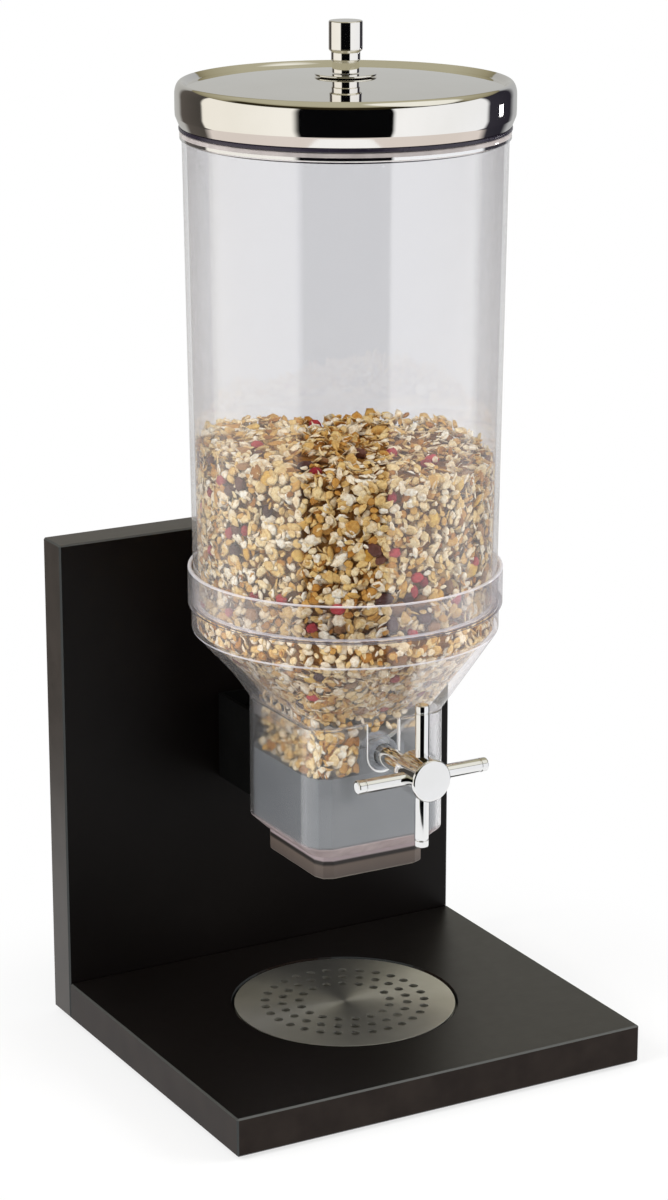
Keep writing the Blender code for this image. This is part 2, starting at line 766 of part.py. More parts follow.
def make_handle(chrome, dark_steel, axis):
    """The turned hub with four rods, locked to the shaft by a grub screw."""
    back = HUB_FRONT - HUB_LENGTH
    bore = SHAFT_R + GAP
    hub = finish(
        "handle_hub",
        turned(
            (
                (bore, back),
                (HUB_R - HUB_CHAMFER, back),
                (HUB_R, back + HUB_CHAMFER),
                (HUB_R, HUB_FRONT - HUB_CHAMFER),
                (HUB_R - HUB_CHAMFER, HUB_FRONT),
                (0, HUB_FRONT),
                (0, back + HUB_BORE_DEPTH),
                (bore, back + HUB_BORE_DEPTH),
                (bore, back),
            )
        ),
        chrome,
        axis,
    )
    plane = HUB_FRONT - SPOKE_SETBACK
    sides = {"right": 0, "up": 1, "left": 2, "down": 3}
    holes = bmesh.new()
    for quarter in sides.values():
        way = Vector((math.cos(quarter * math.pi / 2), math.sin(quarter * math.pi / 2), 0))
        up = Vector((0, 0, plane))
        start = way * (SPOKE_ROOT - GAP) + up
        add_rod(holes, SPOKE_R + GAP, start, way * (HUB_R + CUT) + up, SMALL)
    cut(hub, "spoke_holes", holes, axis)
    groove_end = SPOKE_TIP - SPOKE_GROOVE_FROM_TIP
    groove_r = SPOKE_R - SPOKE_GROOVE_DEPTH
    rod = (
        (0, SPOKE_ROOT),
        (SPOKE_R, SPOKE_ROOT),
        (SPOKE_R, groove_end - SPOKE_GROOVE_W),
        (groove_r, groove_end - SPOKE_GROOVE_W),
        (groove_r, groove_end),
        (SPOKE_R, groove_end),
        (SPOKE_R, SPOKE_TIP - SPOKE_CHAMFER),
        (SPOKE_R - SPOKE_CHAMFER, SPOKE_TIP),
        (0, SPOKE_TIP),
    )
    for side, quarter in sides.items():
        turn = Matrix.Rotation(quarter * math.pi / 2, 3, "Z") @ Matrix.Rotation(math.pi / 2, 3, "Y")
        spoke = turned(rod, SMALL + SMALL // 2)
        rotation = turn.to_euler()
        finish(f"spoke_{side}", spoke, chrome, axis, (0, 0, plane), rotation)

    grub_z = HUB_FRONT - GRUB_SETBACK
    top = HUB_R - HUB_CHAMFER
    hole = bmesh.new()
    add_rod(hole, GRUB_R + GAP, (0, -SHAFT_R, grub_z), (0, -HUB_R - CUT, grub_z), SMALL)
    cut(hub, "grub_hole", hole, axis)
    grub = turned(rod_profile(GRUB_R, top - GRUB_LENGTH, top, GRUB_R / 4), SMALL)
    finish("hub_grub_screw", grub, dark_steel, axis, (0, 0, grub_z), (math.pi / 2, 0, 0))


def make_hopper(clear, axis):
    """Collar, ring and cone, drawn from round to square, with a spigot inside the housing."""
    seat_z = HOUSING_TOP_Z + GAP
    spigot_out = HOUSING_INNER - SLIP
    spigot_in = spigot_out - SPIGOT_WALL
    spigot_corner = HOUSING_CORNER - HOUSING_WALL - SLIP
    spigot_bottom = SHAFT_Z + BUSH_R + GAP + GAP
    ledge_r = RING_R - HOPPER_WALL
    collar_in = COLLAR_R - COLLAR_WALL
    ledge_z = COLLAR_BOTTOM_Z + SLIP
    sections = [
        circle(collar_in, COLLAR_TOP_Z),
        circle(COLLAR_R, COLLAR_TOP_Z),
        circle(COLLAR_R, COLLAR_BOTTOM_Z),
        circle(RING_R, COLLAR_BOTTOM_Z),
        circle(RING_R, RING_BOTTOM_Z),
        rounded_square(HOUSING_HALF, HOUSING_CORNER, seat_z),
        rounded_square(spigot_out, spigot_corner, seat_z),
        rounded_square(spigot_out, spigot_corner, spigot_bottom),
        rounded_square(spigot_in, spigot_corner - SPIGOT_WALL, spigot_bottom),
        rounded_square(spigot_in, spigot_corner - SPIGOT_WALL, seat_z + HOPPER_WALL),
        circle(ledge_r, RING_BOTTOM_Z + HOPPER_WALL / 2),
        circle(ledge_r, ledge_z),
        circle(collar_in, ledge_z),
    ]
    finish("hopper", skin(sections), clear, axis)


def make_canister(clear):
    """The tall clear canister: a slightly tapered open tube with a bead round its mouth."""
    axis = empty("canister_axis", (0, AXIS_Y, 0))
    bead_z = CAN_TOP_Z - BEAD_H
    profile = (
        (CAN_BOTTOM_R - CAN_WALL, CAN_BOTTOM_Z),
        (CAN_BOTTOM_R, CAN_BOTTOM_Z),
        (CAN_TOP_R, bead_z),
        (BEAD_R, bead_z + (BEAD_R - CAN_TOP_R) / 2),
        (BEAD_R, CAN_TOP_Z),
        (CAN_TOP_R - CAN_WALL, CAN_TOP_Z),
    )
    finish("canister", turned(profile, FINE), clear, axis)


def lid_outline(inset, centre_r):
    """Points up the lid from its edge to its middle, moved inwards by inset for the inside."""
    edge_z = LID_BOTTOM_Z
    shoulder_z = edge_z + LID_SKIRT
    points = [(LID_EDGE_R - inset, edge_z), (LID_R - inset, edge_z + LID_LIP)]
    for share in ARC_SHARES:
        turn = share * math.pi / 2
        radius = LID_RIM_R + (LID_R - inset - LID_RIM_R) * math.cos(turn)
        points.append((radius, shoulder_z + (LID_SHOULDER - inset) * math.sin(turn)))
    valley_z = LID_RIM_Z - LID_VALLEY - inset
    for share in ARC_SHARES[:3]:
        radius = LID_VALLEY_R * (1 - share)
        points.append((radius, valley_z + LID_DOME * (1 - (1 - share) ** 2)))
    points.append((centre_r, valley_z + LID_DOME))
    return points


def make_lid(mirror, dark_plastic, screw_steel):
    """The polished steel lid with its plastic seal, and the knob with its washer and screw."""
    axis = empty("lid_axis", (0, AXIS_Y, 0))
    bore = KNOB_SCREW_R + GAP
    profile = lid_outline(0, bore) + lid_outline(LID_T, bore)[::-1]
    finish("lid", turned(profile, FINE), mirror, axis)

    seal_top = SEAL_BOTTOM_Z + SEAL_T
    plug_r = CAN_TOP_R - CAN_WALL - SLIP
    grip_r = LID_EDGE_R - LID_T - SLIP
    seal = turned(
        (
            (plug_r - SEAL_WALL, SEAL_BOTTOM_Z - SEAL_PLUG),
            (plug_r, SEAL_BOTTOM_Z - SEAL_PLUG),
            (plug_r, SEAL_BOTTOM_Z),
            (SEAL_R, SEAL_BOTTOM_Z),
            (SEAL_R, seal_top),
            (grip_r, seal_top),
            (grip_r, seal_top + SEAL_GRIP_H),
            (grip_r - SEAL_GRIP_T, seal_top + SEAL_GRIP_H),
            (grip_r - SEAL_GRIP_T, seal_top),
            (plug_r - SEAL_WALL, seal_top),
        ),
        FINE,
    )
    finish("lid_seal", seal, dark_plastic, axis)

    washer = turned(
        (
            (bore, WASHER_Z),
            (WASHER_R, WASHER_Z),
            (WASHER_R, WASHER_Z + WASHER_T / 2),
            (WASHER_R - WASHER_T / 2, WASHER_Z + WASHER_T),
            (bore, WASHER_Z + WASHER_T),
        )
    )
    finish("knob_washer", washer, mirror, axis)

    top = KNOB_Z + KNOB_H
    head_z = top - KNOB_HEAD_H
    foot_top = KNOB_Z + KNOB_FOOT_H
    hole_end = KNOB_Z + KNOB_SCREW_DEPTH
    knob = turned(
        (
            (bore, KNOB_Z),
            (KNOB_FOOT_R, KNOB_Z),
            (KNOB_FOOT_R, foot_top),
            (KNOB_NECK_R, foot_top + KNOB_CHAMFER),
            (KNOB_NECK_R, head_z - KNOB_CHAMFER),
            (KNOB_HEAD_R, head_z + KNOB_CHAMFER),
            (KNOB_HEAD_R, top - KNOB_CHAMFER),
            (KNOB_HEAD_R - KNOB_CHAMFER, top),
            (0, top),
            (0, hole_end),
            (bore, hole_end),
            (bore, KNOB_Z),
        )
    )
    finish("lid_knob", knob, mirror, axis)

    head_top = LID_TOP_Z - LID_T - SLIP
    screw = turned(
        (
            (0, head_top - KNOB_SCREW_HEAD_T),
            (KNOB_SCREW_HEAD_R, head_top - KNOB_SCREW_HEAD_T),
            (KNOB_SCREW_HEAD_R, head_top),
            (KNOB_SCREW_R, head_top),
            (KNOB_SCREW_R, hole_end - GAP),
            (0, hole_end - GAP),
        ),
        SMALL,
    )
    finish("knob_screw", screw, screw_steel, axis)


def main():
    clear_scene()
    black_board = material("black_laminated_board", (0.13, 0.12, 0.12), 0.45)
    mirror = material("polished_steel", (0.86, 0.85, 0.82), 0.06, 1.0)
    brushed = material("brushed_steel", (0.70, 0.70, 0.69), 0.35, 1.0)
    chrome = material("chromed_brass", (0.88, 0.88, 0.88), 0.05, 1.0)
    dark_steel = material("blackened_steel", (0.20, 0.20, 0.21), 0.40, 1.0)
    clear = material("clear_plastic", (0.93, 0.94, 0.96), 0.05, 0.0, 0.25)
    frosted = material("satin_clear_plastic", (0.80, 0.82, 0.85), 0.25, 0.0, 0.40)
    grey = material("smoke_grey_plastic", (0.45, 0.46, 0.47), 0.35, 0.0, 0.85)
    dark_plastic = material("dark_plastic", (0.16, 0.14, 0.18), 0.30)
    nylon = material("natural_nylon", (0.78, 0.79, 0.80), 0.35)
    painted_steel = material("black_painted_steel", (0.08, 0.08, 0.08), 0.50)
    silicone = material("pale_silicone", (0.82, 0.82, 0.80), 0.55)
    rubber = material("black_rubber", (0.10, 0.10, 0.10), 0.85)
    beech = material("beech_dowel", (0.76, 0.62, 0.44), 0.65)

    make_boards(black_board)
    make_board_joints(brushed, beech, rubber)
    make_crumb_tray(brushed, mirror)
    make_bracket(painted_steel, dark_steel)
    outlet_axis = make_housing(frosted)
    make_cradle(grey, outlet_axis)
    wheel_axis = make_wheel(nylon, silicone, mirror, dark_steel)
    make_handle(chrome, dark_steel, wheel_axis)
    make_hopper(clear, outlet_axis)
    make_canister(clear)
    make_lid(mirror, dark_plastic, brushed)


main()
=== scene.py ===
# %% [markdown]
# # A cereal dispenser, dressed for its picture
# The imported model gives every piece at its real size, with its joints. This script adds what the eye
# wants on top: fine round surfaces, the finish of each material, the flakes in the canister, and a
# small photo studio. It is written in cells, so it can be read and run from top to bottom.

import math

import bmesh
import bpy
import numpy as np
from mathutils import Matrix, Vector


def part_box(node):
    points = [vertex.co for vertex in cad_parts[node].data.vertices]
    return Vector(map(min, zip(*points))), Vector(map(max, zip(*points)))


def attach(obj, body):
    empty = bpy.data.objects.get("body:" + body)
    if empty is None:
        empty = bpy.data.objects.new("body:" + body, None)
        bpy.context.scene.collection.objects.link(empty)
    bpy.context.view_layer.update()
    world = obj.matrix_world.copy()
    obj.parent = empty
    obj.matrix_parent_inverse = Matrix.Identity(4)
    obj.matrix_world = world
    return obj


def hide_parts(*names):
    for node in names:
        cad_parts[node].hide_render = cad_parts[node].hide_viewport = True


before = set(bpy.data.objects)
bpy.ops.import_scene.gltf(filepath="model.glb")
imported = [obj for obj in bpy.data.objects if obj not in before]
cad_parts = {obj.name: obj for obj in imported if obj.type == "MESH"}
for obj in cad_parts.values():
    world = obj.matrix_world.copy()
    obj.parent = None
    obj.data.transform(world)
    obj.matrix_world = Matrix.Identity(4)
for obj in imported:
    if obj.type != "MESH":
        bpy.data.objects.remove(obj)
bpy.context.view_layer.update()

# %% [markdown]
# ## Sizes that the model gives
# Every new surface has to sit exactly where the model's piece is, so its sizes are read from the
# model's boxes instead of being typed again. Only what a box can't tell is named here, such as wall
# thicknesses and small radii. Pieces that touch stay GAP apart, and pieces that slide into each
# other have SLIP of play, as in the model.


# %% Sizes read from the model's pieces
def low(node):
    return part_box(node)[0]


def high(node):
    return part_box(node)[1]


def radius_of(node):
    """Half the width of a round piece."""
    return (high(node).x - low(node).x) / 2


MM = 0.001
AXIS_Y = (low("canister").y + high("canister").y) / 2
SHAFT_Z = (low("shaft").z + high("shaft").z) / 2
GAP = 0.3 * MM
SLIP = 0.5 * MM
print(f"canister axis y {AXIS_Y:.4f} m, shaft height {SHAFT_Z:.4f} m")

# %% [markdown]
# ## Camera
# The picture was taken with a long lens from the front left, a little above the lid. A long lens
# keeps the tall canister straight. The place and angles come from matching the stand's corners and
# the rings of the lid and collar to the picture.

# %% Camera at the picture's angle
CAMERA_PLACE = (-0.7397, -1.3234, 0.6667)
CAMERA_AZIMUTH = -29.075
CAMERA_TILT = 16.21
CAMERA_LENS = 98.99
SENSOR_WIDTH = 36

camera_data = bpy.data.cameras.new("picture_camera")
camera_data.lens = CAMERA_LENS
camera_data.sensor_width = SENSOR_WIDTH
camera = bpy.data.objects.new("picture_camera", camera_data)
camera.location = CAMERA_PLACE
camera.rotation_euler = (math.radians(90 - CAMERA_TILT), 0, math.radians(CAMERA_AZIMUTH))
bpy.context.scene.collection.objects.link(camera)
bpy.context.scene.camera = camera
bpy.context.scene.view_settings.view_transform = "Standard"
print(f"camera {camera.location.length:.2f} m from the origin, lens {CAMERA_LENS} mm")

# %% [markdown]
# ## Materials: a few small helpers
# Hex colours are sRGB, the way a paint chart gives them, but a shader works in linear light, so one
# function converts them. A second one adds any node with its settings, its links and, for a colour
# ramp, its stops. Every material below is written with these two.


# %% Helpers for colours and nodes
def linear(code):
    """A hex colour as linear red, green, blue and an alpha of 1."""
    channels = [int(code[i : i + 2], 16) / 255 for i in (1, 3, 5)]
    return [c / 12.92 if c <= 0.04045 else ((c + 0.055) / 1.055) ** 2.4 for c in channels] + [1.0]


def node(tree, kind, links=None, stops=(), **settings):
    """Adds a node. links holds values or other sockets for its inputs, stops a ramp's colours."""
    made = tree.nodes.new(kind)
    for name, value in settings.items():
        setattr(made, name, value)
    for _ in stops[2:]:
        made.color_ramp.elements.new(0.5)
    for at, (place, code) in enumerate(stops):
        element = made.color_ramp.elements[at]
        element.position, element.color = place, linear(code)
    for name, value in (links or {}).items():
        if isinstance(value, bpy.types.NodeSocket):
            tree.links.new(value, made.inputs[name])
        else:
            made.inputs[name].default_value = value
    return made


def blank(name):
    """A new material with an empty node tree and its output node."""
    made = bpy.data.materials.new(name)
    made.use_nodes = True
    made.node_tree.nodes.clear()
    return made, made.node_tree, node(made.node_tree, "ShaderNodeOutputMaterial")


# %% [markdown]
# Clouds, grain, scratches and pores are all made from one cloudy pattern, at different sizes. It is
# fixed to the piece, so it moves with it, and its size is a real one in millimetres. Stretched along
# one axis, the clouds become scratches or pores.


# %% A cloudy pattern at a real size
def place_of(tree, stretch=(1, 1, 1)):
    """The surface's place in metres. The model's pieces all share one origin."""
    place = node(tree, "ShaderNodeTexCoord").outputs["Object"]
    return node(tree, "ShaderNodeMapping", {"Vector": place, "Scale": stretch}).outputs["Vector"]


def cells_per_metre(size_mm):
    """A texture's scale, so that one cell of its pattern is size_mm wide."""
    return 1 / (size_mm * MM)


def cloudy(tree, size_mm, detail=3.0, stretch=(1, 1, 1)):
    """A pattern from 0 to 1 whose clouds are about size_mm wide."""
    at_size = {
        "Vector": place_of(tree, stretch),
        "Scale": cells_per_metre(size_mm),
        "Detail": detail,
    }
    return node(tree, "ShaderNodeTexNoise", at_size).outputs["Fac"]


# %% [markdown]
# ## Studio
# A polished lid is only as good as what it mirrors. In the picture it shows a broad black screen
# behind the camera, white walls on both sides, darker corners further round, a tan ceiling and a
# pale floor. That room is painted into the world: a gradient runs round the horizon, two more go up
# to the ceiling, and between them a mask picks the front or the back of the room.
#
# The ceiling starts dark above the camera, which draws the thin dark line along the front of the
# lid. A round skylight in it whitens the tops of the handle's rods. A direction's height is its Z,
# from 0 at the horizon to 1 overhead, so walls, ceiling and floor are told apart by that number.

# %% Colours and heights of the painted room
ROOM_STOPS = (
    (0.000, "#c0c0bd"),
    (0.080, "#b1b0ad"),
    (0.100, "#59534e"),
    (0.186, "#46423e"),
    (0.192, "#f7f2e8"),
    (0.400, "#fbf8f1"),
    (0.412, "#060607"),
    (0.586, "#060607"),
    (0.592, "#fdfdfe"),
    (0.800, "#f7f8fb"),
    (0.812, "#34323a"),
    (0.900, "#2a2830"),
    (0.930, "#b4b5b7"),
    (1.000, "#c0c0bd"),
)
FRONT_CEILING_STOPS = ((0.0, "#2b2516"), (0.60, "#2b2516"), (0.72, "#9c957a"), (1.0, "#b5b098"))
BACK_CEILING_STOPS = ((0.0, "#7d765d"), (0.30, "#9c957a"), (1.0, "#b5b098"))
FLOOR_COLOUR = "#e0d6d0"
SKYLIGHT_COLOUR = "#f6f4ea"
SKYLIGHT_AT = (0.20, 0.56, 0.80)
SKYLIGHT_EDGE = (0.88, 0.92)
FLOOR_EDGE = (-0.52, -0.48)
WALL_TOP = (0.40, 0.42)
CEILING_RISE = (0.40, 0.75)
FRONT_EDGE = (-0.15, 0.05)

world = bpy.data.worlds.new("studio_room")
world.use_nodes = True
bpy.context.scene.world = world
room = world.node_tree
room.nodes.clear()
print("room:", len(ROOM_STOPS), "stops round the horizon")

# %% Which way a mirrored ray looks: round the room, up, and towards the camera
direction = node(room, "ShaderNodeTexCoord").outputs["Generated"]
turned_room = node(
    room,
    "ShaderNodeMapping",
    {"Vector": direction, "Rotation": (0, 0, math.radians(90 - CAMERA_AZIMUTH))},
).outputs["Vector"]
round_room = node(room, "ShaderNodeTexGradient", {"Vector": turned_room}, gradient_type="RADIAL")
height = node(room, "ShaderNodeSeparateXYZ", {"Vector": direction}).outputs["Z"]
toward_camera = node(room, "ShaderNodeSeparateXYZ", {"Vector": turned_room}).outputs["X"]
skylight_near = node(
    room, "ShaderNodeVectorMath", {0: turned_room, 1: SKYLIGHT_AT}, operation="DOT_PRODUCT"
).outputs["Value"]

share = {}
for what, value, (start, end) in (
    ("ceiling_rise", height, CEILING_RISE),
    ("above_walls", height, WALL_TOP),
    ("above_floor", height, FLOOR_EDGE),
    ("in_front", toward_camera, FRONT_EDGE),
    ("in_skylight", skylight_near, SKYLIGHT_EDGE),
):
    limits = {"Value": value, "From Min": start, "From Max": end}
    share[what] = node(room, "ShaderNodeMapRange", limits).outputs["Result"]
print("shares of the room:", ", ".join(share))

# %% Walls, ceiling, skylight and floor, each laid over the one before
walls = node(
    room, "ShaderNodeValToRGB", {"Fac": round_room.outputs["Fac"]}, ROOM_STOPS
).outputs["Color"]
back_ceiling = node(
    room, "ShaderNodeValToRGB", {"Fac": share["ceiling_rise"]}, BACK_CEILING_STOPS
).outputs["Color"]
front_ceiling = node(
    room, "ShaderNodeValToRGB", {"Fac": share["ceiling_rise"]}, FRONT_CEILING_STOPS
).outputs["Color"]
ceiling = node(
    room,
    "ShaderNodeMix",
    {"Factor": share["in_front"], "A": back_ceiling, "B": front_ceiling},
    data_type="RGBA",
).outputs["Result"]
overhead = node(
    room,
    "ShaderNodeMix",
    {"Factor": share["in_skylight"], "A": ceiling, "B": linear(SKYLIGHT_COLOUR)},
    data_type="RGBA",
).outputs["Result"]
mirrored = node(
    room,
    "ShaderNodeMix",
    {"Factor": share["above_walls"], "A": walls, "B": overhead},
    data_type="RGBA",
).outputs["Result"]
whole_room = node(
    room,
    "ShaderNodeMix",
    {"Factor": share["above_floor"], "A": linear(FLOOR_COLOUR), "B": mirrored},
    data_type="RGBA",
).outputs["Result"]
print("room colours mixed by", sum(each.type == "MIX" for each in room.nodes), "nodes")

# %% [markdown]
# Only mirrored rays may see the painted room. The camera sees white, and so do the rays that pass
# through the satin outlet, so the backdrop stays clean. Matt surfaces get plain white light, because
# a black wall as a light would leave odd dark sides.

# %% What each kind of ray sees
WORLD_LIGHT = 0.65

mirrored_light = node(room, "ShaderNodeBackground", {"Color": whole_room}).outputs["Background"]
plain_light = node(
    room, "ShaderNodeBackground", {"Color": linear("#ffffff"), "Strength": WORLD_LIGHT}
).outputs["Background"]
white = node(
    room, "ShaderNodeBackground", {"Color": linear("#ffffff"), "Strength": 1.0}
).outputs["Background"]
rays = node(room, "ShaderNodeLightPath").outputs
seen = plain_light
for kind, light in (
    ("Is Glossy Ray", mirrored_light),
    ("Is Transmission Ray", white),
    ("Is Camera Ray", white),
):
    seen = node(room, "ShaderNodeMixShader", {"Fac": rays[kind], 1: seen, 2: light})
    seen = seen.outputs["Shader"]
node(room, "ShaderNodeOutputWorld", {"Surface": seen})
print("matt surfaces get world light of strength", WORLD_LIGHT)

# %% [markdown]
# The lamps are large and soft. The key stands at the left side of the dispenser and above it, and
# the fill at its front right. Neither is mirrored, because metal shows the painted room instead.
# The third is a small window at the right, which leaves the bright spot in the lid's dark edge.


# %% Lamps
def lamp(name, azimuth, distance, height, size, power, aim_height):
    """An area lamp at an azimuth from the front, aimed at a height on the dispenser."""
    data = bpy.data.lights.new(name, "AREA")
    data.shape = "RECTANGLE"
    data.size, data.size_y = size
    data.energy = power
    made = bpy.data.objects.new(name, data)
    turn = math.radians(azimuth)
    made.location = (distance * math.sin(turn), -distance * math.cos(turn), height)
    aim = Vector((0, 0, aim_height)) - made.location
    made.rotation_euler = aim.to_track_quat("-Z", "Y").to_euler()
    bpy.context.scene.collection.objects.link(made)
    print(f"{name}: {power} W, {made.location.length:.2f} m away")
    return made


MIDDLE, LID_EDGE = 0.25, 0.46
key = lamp("key_softbox", -84, 1.7, 1.3, (1.0, 1.0), 27, MIDDLE)
fill = lamp("fill_softbox", 62, 1.8, 1.0, (1.2, 0.9), 28, MIDDLE)
window = lamp("window", 96, 1.5, 0.27, (0.13, 0.05), 0.25, LID_EDGE)
for softbox in (key, fill):
    softbox.visible_glossy = False

# %% [markdown]
# The table is a plain disc. Where the eye meets it well away from the stand, directly, through the
# clear pieces or in a mirror, it has to match the white behind, so it mixes towards pure white with
# distance. Near the stand it stays partly a real lit surface, which keeps the soft shadow.

# %% Table
TABLE_R = 0.45
TABLE_WHITE_FROM = 0.14
TABLE_WHITE_TO = 0.26
TABLE_WHITE_LEAST = 0.7

table_paint, tree, out = blank("white_table")
matt = node(tree, "ShaderNodeBsdfDiffuse", {"Color": linear("#f6f6f5")})
glow = node(tree, "ShaderNodeEmission", {"Color": linear("#ffffff"), "Strength": 1.0})
far = node(tree, "ShaderNodeVectorMath", {0: place_of(tree)}, operation="LENGTH")
whiter = node(
    tree,
    "ShaderNodeMapRange",
    {
        "Value": far.outputs["Value"],
        "From Min": TABLE_WHITE_FROM,
        "From Max": TABLE_WHITE_TO,
        "To Min": TABLE_WHITE_LEAST,
        "To Max": 1.0,
    },
    interpolation_type="SMOOTHSTEP",
)

# %% The table's white is for rays that the eye follows
rays = node(tree, "ShaderNodeLightPath").outputs
eye_ray = rays["Is Camera Ray"]
for kind in ("Is Transmission Ray", "Is Glossy Ray"):
    eye_ray = node(tree, "ShaderNodeMath", {0: eye_ray, 1: rays[kind]}, operation="MAXIMUM")
    eye_ray = eye_ray.outputs["Value"]
seen_white = node(
    tree, "ShaderNodeMath", {0: eye_ray, 1: whiter.outputs["Result"]}, operation="MULTIPLY"
)
node_inputs = {
    "Fac": seen_white.outputs["Value"],
    1: matt.outputs["BSDF"],
    2: glow.outputs["Emission"],
}
surface = node(tree, "ShaderNodeMixShader", node_inputs)
tree.links.new(surface.outputs["Shader"], out.inputs["Surface"])

bpy.ops.mesh.primitive_circle_add(vertices=96, radius=TABLE_R, fill_type="NGON")
table = bpy.context.object
table.name = "table"
table.data.materials.append(table_paint)
print(f"table: {TABLE_R} m in radius, pure white from {TABLE_WHITE_TO} m on")

# %% [markdown]
# ## Metals
# The lid and knob are pressed and turned stainless steel, polished to a mirror. A real pressing is
# never perfectly even, so a faint, slow waviness bends the reflections. The handle is chrome plate
# on turned brass: whiter, and just as sharp. All are one kind of shader with metallic at 1, whose
# tone and roughness drift in clouds of a centimetre or two, as fingers and a cloth leave them.


# %% Polished and plated metal
TONE_MM, SMUDGE_MM = 22, 14


def metal(name, colours, roughness, relief_mm, depth_mm, scratches=None):
    """A metal. Its relief is slow waves, or scratches where their stretch is given."""
    made, tree, out = blank(name)
    tones = ((0.35, colours[0]), (0.65, colours[1]))
    tone = node(tree, "ShaderNodeValToRGB", {"Fac": cloudy(tree, TONE_MM)}, tones)
    smudges = {
        "Value": cloudy(tree, SMUDGE_MM, 4),
        "To Min": roughness[0],
        "To Max": roughness[1],
    }
    relief = {"Height": cloudy(tree, relief_mm, 1), "Distance": depth_mm * MM, "Strength": 1.0}
    if scratches:
        relief["Height"] = cloudy(tree, relief_mm, 2, scratches)
        relief["Strength"] = 0.5
    settings = {
        "Base Color": tone.outputs["Color"],
        "Metallic": 1.0,
        "Roughness": node(tree, "ShaderNodeMapRange", smudges).outputs["Result"],
        "Normal": node(tree, "ShaderNodeBump", relief).outputs["Normal"],
    }
    shader = node(tree, "ShaderNodeBsdfPrincipled", settings)
    tree.links.new(shader.outputs["BSDF"], out.inputs["Surface"])
    return made


polished_stainless = metal("polished_stainless", ("#f0eee9", "#f4f2ee"), (0.02, 0.05), 26, 0.05)
chrome_plate = metal("chrome_plate", ("#e9e9e8", "#eeeeee"), (0.03, 0.06), 9, 0.01)
blackened_screw = metal("blackened_screw", ("#3a3a3c", "#454548"), (0.35, 0.5), 2, 0.02)
zinc_plate = metal("zinc_plate", ("#a9abad", "#b8babb"), (0.25, 0.4), 2, 0.02)
print("metals:", polished_stainless.name, chrome_plate.name, blackened_screw.name, zinc_plate.name)

# %% [markdown]
# The tray is stainless steel too, but it is spun on a lathe, wiped round and round and washed until
# it is satin, so its roughness is near 0.5. Its fine scratches are circles. They spread a highlight
# outwards into a fan, which the shader's anisotropy makes when its tangent runs round Z.

# %% Washed stainless steel of the tray
SPUN_FAN = 0.6

washed_stainless = metal(
    "washed_stainless", ("#e6e5e0", "#f0efeb"), (0.48, 0.58), 0.9, 0.02, scratches=(1, 0.12, 1)
)
tree = washed_stainless.node_tree
round_tray = node(tree, "ShaderNodeTangent", direction_type="RADIAL", axis="Z")
spun = tree.nodes["Principled BSDF"]
spun.inputs["Anisotropic"].default_value = SPUN_FAN
tree.links.new(round_tray.outputs["Tangent"], spun.inputs["Tangent"])
print("the tray's fan of light:", SPUN_FAN)

# %% [markdown]
# ## Plastics
# The canister and hopper are clear moulded polycarbonate. Their walls are thin, so what is behind
# them is hardly shifted, and each of the four surfaces in line mirrors about five per cent, and much
# more at a glancing angle. A mix of a tinted transparent shader and a sharp mirror gives just that,
# lets the lamps in, and stays free of noise. A little haze is mixed in, which is what flow lines and
# wiping leave: it is strongest at the edges, where the eye looks along the wall.

# %% Which rays are a lamp's light
LET_THROUGH = "#fafafa"


def lamp_ray(tree):
    """1 for a ray that carries a lamp's light or soft light, 0 for one that the eye follows."""
    rays = node(tree, "ShaderNodeLightPath").outputs
    both = {0: rays["Is Shadow Ray"], 1: rays["Is Diffuse Ray"]}
    return node(tree, "ShaderNodeMath", both, operation="MAXIMUM").outputs["Value"]


# %% Clear polycarbonate
MIRROR_POWER, HAZE_POWER = 3.5, 1.6
WIPE_MM, POLISH_MM = 9, 30


def clear_wall(name, tints, mirror, haze, haze_colour):
    """A thin clear wall. mirror and haze are each (share when seen square on, share at the edge)."""
    made, tree, out = blank(name)
    glancing = node(tree, "ShaderNodeLayerWeight", {"Blend": 0.5}).outputs["Facing"]
    share = {}
    for what, power, (least, most) in (
        ("mirror", MIRROR_POWER, mirror),
        ("haze", HAZE_POWER, haze),
    ):
        bent = node(tree, "ShaderNodeMath", {0: glancing, 1: power}, operation="POWER")
        limits = {"Value": bent.outputs["Value"], "To Min": least, "To Max": most}
        share[what] = node(tree, "ShaderNodeMapRange", limits).outputs["Result"]
    wipes = {"Value": cloudy(tree, WIPE_MM, 5, (1, 1, 0.3)), "To Min": 0.6, "To Max": 1.4}
    wiped = {0: share["haze"], 1: node(tree, "ShaderNodeMapRange", wipes).outputs["Result"]}
    share["wiped"] = node(tree, "ShaderNodeMath", wiped, operation="MULTIPLY").outputs["Value"]

    edge_tints = ((0.0, tints[0]), (0.6, tints[0]), (0.95, tints[1]))
    tint = node(tree, "ShaderNodeValToRGB", {"Fac": glancing}, edge_tints).outputs["Color"]
    polish = {"Value": cloudy(tree, POLISH_MM, 4), "To Min": 0.0, "To Max": 0.03}
    gloss = {
        "Color": linear("#ffffff"),
        "Roughness": node(tree, "ShaderNodeMapRange", polish).outputs["Result"],
    }
    behind = node(tree, "ShaderNodeBsdfTransparent", {"Color": tint})
    cloud = node(tree, "ShaderNodeBsdfDiffuse", {"Color": linear(haze_colour)})
    shine = node(tree, "ShaderNodeBsdfGlossy", gloss)
    through = node(tree, "ShaderNodeBsdfTransparent", {"Color": linear(LET_THROUGH)})
    seen = behind.outputs["BSDF"]
    for amount, layer in (
        (share["wiped"], cloud),
        (share["mirror"], shine),
        (lamp_ray(tree), through),
    ):
        mixed = {"Fac": amount, 1: seen, 2: layer.outputs["BSDF"]}
        seen = node(tree, "ShaderNodeMixShader", mixed).outputs["Shader"]
    tree.links.new(seen, out.inputs["Surface"])
    return made


